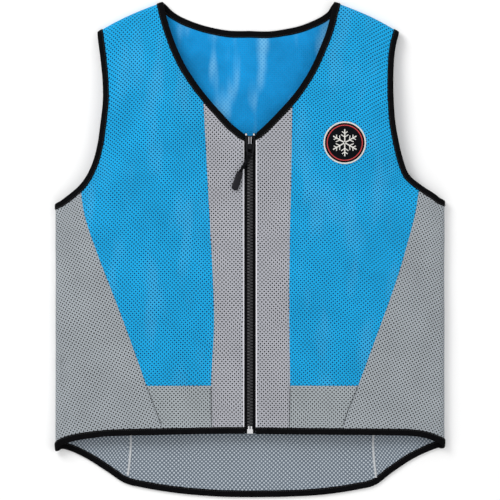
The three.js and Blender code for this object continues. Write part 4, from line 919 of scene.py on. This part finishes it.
def tapeSection(into):
    thick, room, wall = tape["wall"], tape["room"], vest["wall"]
    middle = -wall / 2
    reach = wall / 2 + room + thick
    top = []
    sewnAt = into - tape["stitchIn"]
    for a in np.linspace(into, 0, 9):
        crown = tape["crown"] * math.sin(math.pi * min(1, max(0, (sewnAt - a) / sewnAt)))
        dip = tape["dip"] * math.exp(-((a - sewnAt) / tape["dipRun"]) ** 2)
        ending = tape["ending"] * math.exp(-((a - into) / tape["endingRun"]) ** 2)
        top.append((a, reach + crown - dip - ending))
    turn = [(-math.sin(angle) * (reach + tape["nose"]), math.cos(angle) * reach)
            for angle in np.linspace(0, math.pi, 9)[1:-1]]
    bottom = [(a, -b) for a, b in reversed(top)]
    within = wall / 2 + room
    inside = [(into, -within), (into / 2, -within), (0.0, -within), (-0.35, 0.0), (0.0, within),
              (into / 2, within), (into, within)]
    return np.array([(a, b + middle) for a, b in [*top, *turn, *bottom, *inside]])


def smoothed(values, times, closed):
    for _ in range(times):
        if closed:
            values = (np.roll(values, 1, axis=0) + 2 * values + np.roll(values, -1, axis=0)) / 4
        else:
            within = (values[:-2] + 2 * values[1:-1] + values[2:]) / 4
            values = np.concatenate([values[:1], within, values[-1:]])
    return values


def tapeStations(edges, closed):
    spots, normals, insides = (np.concatenate([edge[k] for edge in edges]) for k in range(3))
    keep = [0]
    for i in range(1, len(spots)):
        if np.linalg.norm(spots[i] - spots[keep[-1]]) >= tape["step"] * 0.8:
            keep.append(i)
    if closed and np.linalg.norm(spots[keep[-1]] - spots[0]) < tape["step"] * 0.6:
        keep.pop()
    if not closed and keep[-1] != len(spots) - 1:
        keep[-1] = len(spots) - 1
    spots, normals, into = spots[keep], normals[keep], insides[keep] - spots[keep]
    ahead = np.roll(spots, -1, axis=0) - np.roll(spots, 1, axis=0)
    if not closed:
        ahead[0], ahead[-1] = spots[1] - spots[0], spots[-1] - spots[-2]
    normals = smoothed(normals, 2, closed)
    into = into / np.linalg.norm(into, axis=1)[:, None]
    into = smoothed(into, 3, closed)
    if not closed:
        into[0], into[-1] = (0, np.sign(into[0, 1]), 0), (0, np.sign(into[-1, 1]), 0)
    into = into - normals * (into * normals).sum(axis=1)[:, None]
    middle = slice(None) if closed else slice(1, -1)
    way = (ahead / np.linalg.norm(ahead, axis=1)[:, None])[middle]
    into[middle] = into[middle] - way * (into[middle] * way).sum(axis=1)[:, None] * 0.9
    into /= np.linalg.norm(into, axis=1)[:, None]
    normals = normals / np.linalg.norm(normals, axis=1)[:, None]
    return spots, normals, into


def foldedTape(name, edges, closed):
    spots, normals, into = tapeStations(edges, closed)
    width = tape["armholeInto"] if closed else tape["into"]
    section = tapeSection(width)
    gaps = np.linalg.norm(np.roll(spots, -1, axis=0) - spots, axis=1)
    travel = np.concatenate([[0], np.cumsum(gaps)[:-1]])
    around = np.concatenate([[0], np.cumsum(np.linalg.norm(np.diff(section, axis=0), axis=1))])
    verts, uvs = [], []
    for i, spot in enumerate(spots):
        wobble = noise.noise(Vector((travel[i] / tape["wobbleRun"], tape["wobbleSeed"], 0))) * tape["wobble"]
        pull = math.sin(2 * math.pi * travel[i] / tape["stitchPitch"]) * tape["pucker"]
        for (a, b), run in zip(section, around):
            out = 1 if b > -vest["wall"] / 2 else -1
            flap = max(0.0, a) / width
            verts.append(spot + into[i] * (a + wobble * flap) + normals[i] * (b + out * pull * flap * 0.6))
            uvs.append((travel[i], run))
    count, corners = len(spots), len(section)
    faces = []
    for i in range(count if closed else count - 1):
        for k in range(corners):
            here, after = i * corners, ((i + 1) % count) * corners
            j = (k + 1) % corners
            faces.append((here + k, after + k, after + j, here + j))
    verts = [(x, y, max(z, vest["floorGap"])) for x, y, z in verts]
    obj = facedOut(meshObject(name, verts, faces, uvs), closeEnds=not closed)
    reach = vest["wall"] / 2 + tape["room"] + tape["wall"] - stitch["sunk"]
    rows = [spots + into * (width - tape["stitchIn"]) + normals * (sign * reach - vest["wall"] / 2)
            for sign in (1, -1)]
    return obj, rows, float(gaps[: None if closed else -1].sum())


def edgeOf(key, axis, position, start=None, stop=None, flip=False):
    index = indexOf[key]
    beside = 1 if position == 0 else -2
    line = index[position] if axis == 0 else index[:, position]
    inner = index[beside] if axis == 0 else index[:, beside]
    line, inner = line[start:stop], inner[start:stop]
    if flip:
        line, inner = line[::-1], inner[::-1]
    return sheetPoints[line], sheetNormals[line], sheetPoints[inner]


neckRowsEnd = steps["fold"] + steps["neck"] + 1
neckEdges = [
    edgeOf("placketleft", 0, 0), edgeOf("chestleft", 1, 0, 0, neckRowsEnd, flip=True),
    edgeOf("backShoulderleft", 1, 0, 1),
    edgeOf("back", 0, 0, steps["shoulder"] + 1, steps["shoulder"] + steps["backNeck"]),
    edgeOf("backShoulderright", 1, 0, 1, flip=True), edgeOf("chestright", 1, 0, 0, neckRowsEnd),
    edgeOf("placketright", 0, 0, flip=True),
]
hemParts = ("placket", "insert", "side")
hemEdges = [edgeOf(part + "left", 0, -1) for part in hemParts] + [edgeOf("tail", 0, -1)]
hemEdges += [edgeOf(part + "right", 0, -1, flip=True) for part in hemParts[::-1]]
armholeRowsEnd = steps["fold"] + steps["armhole"] + 1
armholeEdges = {
    name: [
        edgeOf("chest" + name, 1, -1, 0, armholeRowsEnd), edgeOf("side" + name, 0, 0, 1),
        edgeOf("back", 1, 0 if name == "left" else -1, 1, steps["armhole"], flip=True),
        edgeOf("backShoulder" + name, 1, -1, 1, flip=True),
    ] for name in sides
}
stitchRows = []
bindings = {"neck_binding": (neckEdges, False), "hem_binding": (hemEdges, False),
            "armhole_binding_left": (armholeEdges["left"], True),
            "armhole_binding_right": (armholeEdges["right"], True)}
for node, (edges, closed) in bindings.items():
    first, *others = node.split("_")
    binding, rows, length = foldedTape(first + "".join(w.capitalize() for w in others), edges, closed)
    finished(binding, "tape", [node], bindingTape)
    stitchRows += [(row, closed) for row in rows]
print("bindings folded")


# A node group that takes a mesh and named values, and what its inputs are set to
def nodeGroup(name, inputs):
    tree = bpy.data.node_groups.new(name, "GeometryNodeTree")
    tree.interface.new_socket("Geometry", in_out="INPUT", socket_type="NodeSocketGeometry")
    values = {}
    for label, (kind, value) in inputs.items():
        socket = tree.interface.new_socket(label, in_out="INPUT", socket_type="NodeSocket" + kind)
        socket.default_value = value
        values[socket.identifier] = value
    tree.interface.new_socket("Geometry", in_out="OUTPUT", socket_type="NodeSocketGeometry")
    return tree, tree.nodes.new("NodeGroupInput").outputs, values


def endGroup(tree, many, material):
    real = addNode(tree, "GeometryNodeRealizeInstances", {"Geometry": many})
    done = addNode(tree, "GeometryNodeSetMaterial", {"Geometry": real, "Material": material})
    tree.links.new(done, tree.nodes.new("NodeGroupOutput").inputs[0])


# Stitches: a thread length on each step of a row
def stitchTree(name, pitch, length, width, height, material):
    sizes = {"Pitch": pitch, "Length": length, "Width": width, "Height": height}
    tree, given, values = nodeGroup(name, {label: ("Float", size * mm) for label, size in sizes.items()})
    curve = addNode(tree, "GeometryNodeMeshToCurve", {"Mesh": given["Geometry"]})
    curve = addNode(tree, "GeometryNodeResampleCurve", {"Curve": curve, "Length": given["Pitch"]},
                    mode="LENGTH")
    tangent = addNode(tree, "GeometryNodeInputTangent")
    turn = addNode(tree, "FunctionNodeAlignRotationToVector", {"Vector": tangent}, axis="X", pivot_axis="Z")
    bead = addNode(tree, "GeometryNodeMeshUVSphere", {"Segments": 6, "Rings": 4, "Radius": 0.5})
    size = addNode(tree, "ShaderNodeCombineXYZ", {0: given["Length"], 1: given["Width"], 2: given["Height"]})
    bead = addNode(tree, "GeometryNodeTransform", {"Geometry": bead, "Scale": size})
    many = addNode(tree, "GeometryNodeInstanceOnPoints", {
        "Points": curve, "Instance": bead, "Rotation": turn})
    endGroup(tree, many, material)
    return tree, values


def bakedNodes(obj, tree, values):
    modifier = obj.modifiers.new("nodes", "NODES")
    modifier.node_group = tree
    for identifier, value in values.items():
        modifier[identifier] = value
    bpy.context.view_layer.update()
    shaped = obj.evaluated_get(bpy.context.evaluated_depsgraph_get())
    mesh = bpy.data.meshes.new_from_object(shaped)
    obj.modifiers.remove(modifier)
    obj.data = mesh


def sewn(name, rows, material, pitch, slot, length=stitch["length"], width=stitch["width"], height=None):
    height = height or width
    verts, edges = [], []
    for row, closed in rows:
        first = len(verts)
        verts += [(x * mm, y * mm, max(z, height / 2) * mm) for x, y, z in row]
        edges += [(i, i + 1) for i in range(first, len(verts) - 1)]
        if closed:
            edges.append((len(verts) - 1, first))
    mesh = bpy.data.meshes.new(name)
    mesh.from_pydata(verts, edges, [])
    obj = placed(name, mesh)
    bakedNodes(obj, *stitchTree(name + " rows", pitch, length, width, height, material))
    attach(obj, "root")


sewn("bindingStitches", stitchRows, blackThread, tape["stitchPitch"], "tape")


# Rows of stitches on the cloth itself, at a distance from a seam or an edge
def rowBeside(key, edge, distance, rows):
    index = indexOf[key]
    at, beside = index[rows, edge], index[rows, edge + (1 if edge == 0 else -1)]
    way = sheetPoints[beside] - sheetPoints[at]
    way /= np.linalg.norm(way, axis=1)[:, None]
    return sheetPoints[at] + way * distance + sheetNormals[at] * stitch["above"], False


belowTape = slice(6, -6)
placketRows = [rowBeside("placket" + name, 0, stitch["besideZip"], belowTape) for name in sides]
seamRows = [rowBeside(part + name, edge, stitch["besideSeam"], belowTape)
            for name in sides for part, edge in (("placket", -1), ("side", 0), ("side", -1))]
sewn("placketStitches", placketRows, greyThread, 2.9, "grey_mesh", width=0.5)
sewn("seamStitches", seamRows, greyThread, 2.6, "grey_mesh", width=0.42)
# Where grey meets grey, at the hem inserts, a dark thread row lies on the seam itself: dark stitches that
# also stand in as painted shade for the seam's groove
insertRows = [rowBeside("insert" + name, edge, 0.1, slice(1, -5)) for name in sides for edge in (0, -1)]
sewn("insertSeams", insertRows, seamShadeThread, 2.1, "grey_mesh", length=1.9, width=0.8)


# Overlocked allowance along the side seams, on the inside of the back, both pressed to the same hand
overlock = {"pitch": 1.5, "length": 1.3, "width": 4.0, "height": 1.8, "aside": 2.8, "within": 0.6}
overlockRows = []
for name in sides:
    index = indexOf["side" + name][8:-3, -1]
    inward = sheetNormals[index] * (vest["wall"] + overlock["within"])
    overlockRows.append((sheetPoints[index] - inward + np.array([overlock["aside"], 0, 0]), False))
sewn("backOverlock", overlockRows, overlockThread, overlock["pitch"], "grey_mesh", overlock["length"],
     overlock["width"], overlock["height"])
print("stitches sewn")


# Zip
zipper = {
    "tapeWall": 0.8, "chainWidth": 8.3, "chainThickness": 3.0, "pitch": 4.4,
    "boxLength": 10.8, "boxThickness": 4.0, "sliderBelowNeck": 3.7, "wedgeLength": 7, "clearance": 0.3,
    "frameWall": 2, "tapeAboveSlider": 4.2, "tapeAboveEnd": 0.2, "tapeHidden": 9, "tapeShows": 8.0,
    "tapeRows": 150, "tapeWave": 0.05, "tapeWaveRun": 9, "toothFrom": {"left": 0.25, "right": 0.75},
    # across the tape from the teeth outwards, and how high it stands: cord, turned edge, flat
    "across": (0.5, 2.4, 4.5, 5.0, 5.6, 6.2, 6.9, 7.6, 8.0, 8.6, 10.2, 12.6, 15.4),
    "rises": (-0.5, -0.5, 0.0, 0.28, 0.3, 0.05, 0.0, 0.0, 0.0, 0.0, 0.0, 0.0, 0.0),
}
tapeTop = foldHeight - zipper["frameWall"] - zipper["clearance"]
chainMiddle = tapeTop - zipper["tapeWall"] / 2
sliderTop = depthY(vest["frontNeckDepth"]) - zipper["sliderBelowNeck"]
boxBottom = depthY(vest["frontLength"])
chainFrom = boxBottom + zipper["boxLength"] + zipper["clearance"]
toothCount = int((sliderTop - zipper["wedgeLength"] - zipper["clearance"] - chainFrom) // zipper["pitch"])


# Tape: a woven strip with a corded selvedge beside the teeth and a turned end above the slider
def zipTape(name, side):
    shown = (boxBottom + zipper["tapeAboveEnd"], sliderTop + zipper["tapeAboveSlider"])
    hidden = (boxBottom + zipper["tapeHidden"], sliderTop - zipper["tapeHidden"])
    toothed = (chainFrom, sliderTop - zipper["wedgeLength"])
    count, wide = zipper["tapeRows"], len(zipper["across"])
    verts, uvs = [], []
    for face in (0, 1):
        for r in range(count + 1):
            for x, rise in zip(zipper["across"], zipper["rises"]):
                span = shown if x <= zipper["tapeShows"] else hidden
                span = toothed if x < zipper["chainWidth"] / 2 else span
                y = lerp(*span, r / count)
                z = tapeTop + rise * 0.5 if face == 0 else tapeTop - zipper["tapeWall"] - rise * 0.5
                wave = noise.noise(Vector((x, y / zipper["tapeWaveRun"], side)))
                verts.append((side * x, y, z + zipper["tapeWave"] * wave))
                uvs.append((side * x, y))
    layer = (count + 1) * wide
    faces = []
    for r in range(count):
        for c in range(wide - 1):
            a, b, d, e = r * wide + c, r * wide + c + 1, (r + 1) * wide + c + 1, (r + 1) * wide + c
            faces += [(a, b, d, e), (layer + e, layer + d, layer + b, layer + a)]
    border = [*range(wide), *(r * wide + wide - 1 for r in range(1, count + 1))]
    border += [count * wide + c for c in range(wide - 2, -1, -1)]
    border += [r * wide for r in range(count - 1, 0, -1)]
    for i, a in enumerate(border):
        b = border[(i + 1) % len(border)]
        faces.append((b, a, layer + a, layer + b))
    return facedOut(meshObject(name, verts, faces, uvs))


# Tooth: a moulded block clamped on the tape's cord, with a pointed head that meets its neighbours
def toothTree(name, material):
    tree, given, values = nodeGroup(name, {
        "Count": ("Int", toothCount), "Pitch": ("Float", zipper["pitch"] * mm)})
    step = addNode(tree, "ShaderNodeCombineXYZ", {1: given["Pitch"]})
    line = addNode(tree, "GeometryNodeMeshLine", {"Count": given["Count"], "Offset": step})
    many = addNode(tree, "GeometryNodeInstanceOnPoints", {"Points": line, "Instance": given["Geometry"]})
    endGroup(tree, many, material)
    return tree, values


tooth = {
    "outline": ((4.1, -1.55), (4.1, 1.55), (2.3, 1.75), (1.2, 1.5), (-0.95, 0.45), (-0.95, -0.45),
                (1.2, -1.5), (2.3, -1.75)),
    "inset": 0.42, "crown": 0.3, "headDip": 0.06, "headWithin": 1.4, "bevel": 0.22, "sharp": 0.7,
}


def toothMesh(name, side, first):
    bm = bmesh.new()
    bottom, thick = (chainMiddle - zipper["chainThickness"] / 2) * mm, zipper["chainThickness"] * mm
    bm.faces.new([bm.verts.new((side * x * mm, (first + y) * mm, bottom)) for x, y in tooth["outline"]])
    made = bmesh.ops.extrude_face_region(bm, geom=list(bm.faces))["geom"]
    bmesh.ops.translate(bm, vec=(0, 0, thick), verts=[v for v in made if isinstance(v, bmesh.types.BMVert)])
    bmesh.ops.recalc_face_normals(bm, faces=bm.faces)
    top = [f for f in bm.faces if f.normal.z > 0.9]
    bmesh.ops.inset_region(bm, faces=top, thickness=tooth["inset"] * mm, depth=0)
    for vert in {v for f in top for v in f.verts}:
        vert.co.z += mm * (tooth["crown"] if abs(vert.co.x) > tooth["headWithin"] * mm else -tooth["headDip"])
    bmesh.ops.bevel(bm, geom=[e for e in bm.edges if e.calc_face_angle(0) > tooth["sharp"]],
                    offset=tooth["bevel"] * mm, segments=1, affect="EDGES", profile=0.6)
    return smoothObject(name, bm)


for name, side in sides.items():
    strip = zipTape("zipTape_" + name, side)
    finished(strip, "tape", ["zipper_tape_" + name], zipTapeCloth)
    firstTooth = chainFrom + zipper["pitch"] * zipper["toothFrom"][name]
    teeth = toothMesh("zipTeeth_" + name, side, firstTooth)
    bakedNodes(teeth, *toothTree("teeth " + name, toothPlastic))
    finished(teeth, "moulded_teeth", ["zipper_teeth_" + name])
print("zip made,", toothCount, "teeth a side")


# Small hard pieces: the frame's solids with rounded edges
def rounded(name, node, width, angle=0.5):
    bm = bmesh.new()
    bm.from_mesh(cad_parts[node].data)
    bmesh.ops.remove_doubles(bm, verts=bm.verts, dist=1e-6)
    bmesh.ops.dissolve_limit(bm, angle_limit=0.02, verts=bm.verts, edges=bm.edges)
    sharp = [e for e in bm.edges if e.calc_face_angle(0) > angle]
    bmesh.ops.bevel(bm, geom=sharp, offset=width * mm, segments=3, affect="EDGES", profile=0.55,
                    clamp_overlap=True)
    return smoothObject(name, bm)


for name, node, width, slotName, material in (
        ("slider", "slider_body", 0.35, "dark_metal", sliderZinc),
        ("pullLink", "pull_link", 0.4, "dark_metal", darkZinc),
        ("topStopLeft", "top_stop_left", 0.35, "bright_metal", platedZinc),
        ("topStopRight", "top_stop_right", 0.35, "bright_metal", platedZinc)):
    finished(rounded(name, node, width), slotName, [node], material)

# Box: a block that holds the pins, which stand above it
box = {"block": 6.6, "pin": 2.3, "pinFrom": 0.75, "pinSunk": 1, "pinLow": 0.6, "pinTop": 0.3, "bevel": 0.5}


def blocks(name, parts, bevel):
    bm = bmesh.new()
    for low, high in parts:
        low, high = Vector(low), Vector(high)
        for vert in bmesh.ops.create_cube(bm, size=1)["verts"]:
            vert.co = ((low + high) / 2 + vert.co * (high - low)) * mm
    bmesh.ops.bevel(bm, geom=list(bm.edges), offset=bevel * mm, segments=3, affect="EDGES", profile=0.6)
    return smoothObject(name, bm)


halfChain, halfBox = zipper["chainWidth"] / 2, zipper["boxThickness"] / 2
boxParts = [((-halfChain, boxBottom, chainMiddle - halfBox),
             (halfChain, boxBottom + box["block"], chainMiddle + halfBox))]
for side in sides.values():
    inner, outer = side * box["pinFrom"], side * (box["pinFrom"] + box["pin"])
    boxParts.append((
        (min(inner, outer), boxBottom + box["block"] - box["pinSunk"], chainMiddle - halfBox + box["pinLow"]),
        (max(inner, outer), boxBottom + zipper["boxLength"], chainMiddle + halfBox - box["pinTop"])))
finished(blocks("zipBox", boxParts, box["bevel"]), "bright_metal", ["zipper_box"], platedZinc)
print("slider, stops and box made")


# A tube round a path, with rings across it and its ends closed
def tube(name, path, widths, heights, count, across=(1.0, 0, 0), power=2.0, uvStep=0.9):
    path = np.asarray(path, float)
    way = np.gradient(path, axis=0)
    way /= np.linalg.norm(way, axis=1)[:, None]
    side = np.asarray(across, float)
    verts, uvs, travel = [], [], 0.0
    for i, spot in enumerate(path):
        side = side - way[i] * (side @ way[i])
        side /= np.linalg.norm(side)
        up = np.cross(side, way[i])
        travel += float(np.linalg.norm(path[i] - path[i - 1])) if i else 0.0
        for k in range(count):
            angle = 2 * math.pi * k / count
            c, t = math.cos(angle), math.sin(angle)
            a = math.copysign(abs(c) ** (2 / power), c) * widths[i] / 2
            b = math.copysign(abs(t) ** (2 / power), t) * heights[i] / 2
            verts.append(spot + side * a + up * b)
            uvs.append((travel, k * uvStep))
    faces = []
    for i in range(len(path) - 1):
        here, after = i * count, (i + 1) * count
        for k in range(count):
            j = (k + 1) % count
            faces.append((here + k, here + j, after + j, after + k))
    for first, end in ((0, path[0]), ((len(path) - 1) * count, path[-1])):
        verts.append(end)
        uvs.append((0.0, 0.0))
        faces += [(first + k, first + (k + 1) % count, len(verts) - 1) for k in range(count)]
    return facedOut(meshObject(name, verts, faces, uvs))


# Grip: a moulded bar, wider at its lower end, with a short neck where the cord goes in
grip = {
    "across": 14.2, "below": 52, "raise": 20.0, "lean": 18, "length": 27.6, "top": 9.0, "bottom": 10.5,
    "thick": 5.2, "square": 2.6, "around": 28,
    # how full its neck starts, and where its end rounds
    "neck": 0.9, "neckRun": 5, "endFrom": 0.83, "endLeast": 0.06,
}
lean = math.radians(grip["lean"])
gripWay = np.array([-math.sin(lean), -math.cos(lean), 0])
gripSide = np.array([math.cos(lean), -math.sin(lean), 0])
gripStart = np.array([-grip["across"], sliderTop - grip["below"], grip["raise"]])
# rings draw together at the rounded end
closer = 1 - 0.2 * np.cos(np.linspace(0, math.pi / 2, 11))[1:]
shares = np.concatenate([np.linspace(0, 0.1, 7), np.linspace(0.14, 0.8, 14), closer])
fullness = np.sin(math.pi / 2 * np.minimum(1.0, grip["neck"] + shares * grip["neckRun"]))
rounding = np.maximum(0.0, (shares - grip["endFrom"]) / (1 - grip["endFrom"]))
ending = np.maximum(np.sqrt(np.maximum(0.0, 1 - rounding ** 2)), grip["endLeast"])
gripWidths = lerp(grip["top"], grip["bottom"], shares) * fullness * ending
gripHeights = grip["thick"] * fullness * np.maximum(ending ** 0.6, 0.1)
gripPath = gripStart + gripWay * (shares * grip["length"])[:, None]
gripObject = tube("pullGrip", gripPath, gripWidths, gripHeights, grip["around"], gripSide, grip["square"])
finished(gripObject, "moulded_grip", ["pull_grip"], gripRubber)

# Cord: two strands twisted on each other, that turn round the link's free bar
cord = {
    "thick": 2.9, "apart": 1.4, "turns": 2.5, "opens": 0.72, "aroundBar": 2.63, "bar": (-0.3, 136.2, 19.9),
    "inGrip": 1.2, "steps": 60, "barSteps": 14, "around": 12,
}
barSpot = np.array(cord["bar"])
cordFrom = gripStart + gripWay * cord["inGrip"]
strands = [[], []]
for i in range(cord["steps"] + 1):
    share = i / cord["steps"]
    phase = math.pi / 2 - 2 * math.pi * cord["turns"] * (1 - share)
    apart = lerp(cord["apart"], cord["aroundBar"], float(smooth(share, cord["opens"], 1.0)))
    middle = lerp(cordFrom, barSpot, share)
    offset = gripSide * math.cos(phase) + np.array([0, 0, 1.0]) * math.sin(phase)
    strands[0].append(middle + offset * apart)
    strands[1].append(middle - offset * apart)
turnPoints = [barSpot + np.array([0, math.sin(angle), math.cos(angle)]) * cord["aroundBar"]
              for angle in np.linspace(0, math.pi, cord["barSteps"])[1:-1]]
cordPath = smoothed(np.array([*strands[0], *turnPoints, *strands[1][::-1]]), 3, False)
cordSize = np.full(len(cordPath), cord["thick"])
finished(tube("pullCord", cordPath, cordSize, cordSize, cord["around"]), "tape", ["pull_cord"], cordBraid)
print("grip and cord made")

# Badge: a round woven patch that lies on the knit, with a wrapped border and a plain snowflake
badge = {
    "across": 136, "below": 203, "size": 62, "thick": 1.0, "lift": 0.25, "rings": 20, "spokes": 90,
    "border": 1.6, "borderRise": 0.75, "groundIn": 1.2, "threadRise": 0.05, "ring": 25.2,
    "arm": (1.5, 19, 24),
    # where each pair of twigs leaves the arm, and how long it is
    "twigs": ((8.0, 6.0), (13.2, 4.6)), "twigBend": 55,
}
badgeAt = np.array([badge["across"], depthY(badge["below"])])
chestMesh = panels["frontChestright"].data
chestTree = bvhtree.BVHTree.FromPolygons(
    [v.co for v in chestMesh.vertices], [p.vertices for p in chestMesh.polygons])


def onBadge(x, y, rise):
    x, y = badgeAt[0] + x, badgeAt[1] + y
    hit = chestTree.ray_cast(Vector((x * mm, y * mm, 0.1)), Vector((0, 0, -1)))[0]
    return np.array([x, y, hit.z / mm + badge["lift"] + rise])


def badgeRow(points, rise=badge["thick"] + badge["threadRise"]):
    return np.array([onBadge(x, y, rise) for x, y in points])


def directed(angle):
    return np.array([math.cos(angle), math.sin(angle)])


def arc(radius, count=120):
    return [radius * directed(2 * math.pi * i / count) for i in range(count)]


reach = badge["size"] / 2 - badge["groundIn"]
verts, uvs, faces = [], [], []
for rise in (badge["thick"], 0.0):
    for ring in range(badge["rings"] + 1):
        radius = reach * ring / badge["rings"]
        for x, y in arc(radius, badge["spokes"] if ring else 1):
            verts.append(onBadge(x, y, rise))
            uvs.append((x, y))
perFace, spokes = len(verts) // 2, badge["spokes"]
for base, flip in ((0, False), (perFace, True)):
    for i in range(spokes):
        j = (i + 1) % spokes
        made = [(base, base + 1 + i, base + 1 + j)]
        for ring in range(badge["rings"] - 1):
            a, b = base + 1 + ring * spokes, base + 1 + (ring + 1) * spokes
            made.append((a + i, b + i, b + j, a + j))
        faces += [face[::-1] for face in made] if flip else made
rim = 1 + (badge["rings"] - 1) * spokes
faces += [(rim + i, perFace + rim + i, perFace + rim + (i + 1) % spokes, rim + (i + 1) % spokes)
          for i in range(spokes)]
patchObject = facedOut(meshObject("chestBadge", verts, faces, uvs))
finished(patchObject, "patch_cloth", ["chest_patch"], patchTwill)

border = [(badgeRow(arc(badge["size"] / 2 - badge["border"]), badge["borderRise"]), True)]
flakeArms, flakeTwigs = [], []
for angle in np.radians(np.arange(90, 450, 60)):
    armWay = directed(angle)
    flakeArms.append((badgeRow([armWay * r for r in np.linspace(*badge["arm"])]), False))
    for start, length in badge["twigs"]:
        for bend in (-1, 1):
            twigWay = directed(angle + bend * math.radians(badge["twigBend"]))
            twig = [armWay * start + twigWay * r for r in np.linspace(0.6, length, 10)]
            flakeTwigs.append((badgeRow(twig), False))
# rows, thread, then how far apart, how long, how wide and how high its stitches are
for name, rows, thread, pitch, *size in (
        ("badgeBorder", border, whiteThread, 0.85, 1.0, 3.0, 1.5),
        ("badgeRing", [(badgeRow(arc(badge["ring"])), True)], redThread, 0.8, 0.95, 1.7, 0.7),
        ("flakeArms", flakeArms, whiteThread, 0.75, 0.9, 2.1, 0.8),
        ("flakeTwigs", flakeTwigs, whiteThread, 0.75, 0.9, 1.6, 0.7)):
    sewn(name, rows, thread, pitch, "patch_cloth", *size)
print("badge made")

# Camera: straight above, long lens, the photograph's frame
cameraSet = {"lens": 250, "sensor": 36, "frameWide": 0.71885, "x": 0.0, "y": -0.0004, "level": 0.017}
cameraData = bpy.data.cameras.new("camera")
cameraData.lens, cameraData.sensor_width = cameraSet["lens"], cameraSet["sensor"]
camera = placed("camera", cameraData)
distance = cameraSet["frameWide"] * cameraSet["lens"] / cameraSet["sensor"]
camera.location = (cameraSet["x"], cameraSet["y"], cameraSet["level"] + distance)
scene.camera = camera

# Floor and soft studio light
studio = {
    "floor": "#fdfdfd", "floorShade": "#f8f8f8", "reach": 6, "world": 0.78,  # reach in metres, half the floor
    "key": ((-1.3, 1.5, 1.7), 1.2, 32), "fill": ((1.8, -0.8, 2.2), 1.8, 9),  # place, size, power
}
floorMesh = bpy.data.meshes.new("floor")
floorMesh.from_pydata([(x * studio["reach"], y * studio["reach"], 0) for x, y in (
    (-1, -1), (1, -1), (1, 1), (-1, 1))], [], [(0, 1, 2, 3)])
floor = placed("floor", floorMesh)
floorPaint, floorTree = newMaterial("Seamless studio paper, white", 0.9)
paper = addNode(floorTree, "ShaderNodeTexCoord", out="Object")
paper = addNode(floorTree, "ShaderNodeTexNoise", {"Vector": paper, "Scale": 3.0})
tone = addNode(floorTree, "ShaderNodeMix", {
    "Factor": paper, 6: linear(studio["floor"]), 7: linear(studio["floorShade"])}, out=2, data_type="RGBA")
floor.data.materials.append(wired(floorPaint, {"Base Color": tone}))

world = bpy.data.worlds.new("studio")
world.use_nodes = True
sky = world.node_tree.nodes["Background"].inputs
sky["Color"].default_value, sky["Strength"].default_value = (1, 1, 1, 1), studio["world"]
scene.world = world
scene.view_settings.view_transform = "Standard"


def softBox(name, place, size, power):
    light = bpy.data.lights.new(name, "AREA")
    light.energy, light.size = power, size
    obj = placed(name, light)
    obj.location = place
    obj.rotation_euler = (-Vector(place)).to_track_quat("-Z", "Y").to_euler()


for name in ("key", "fill"):
    softBox(name, *studio[name])
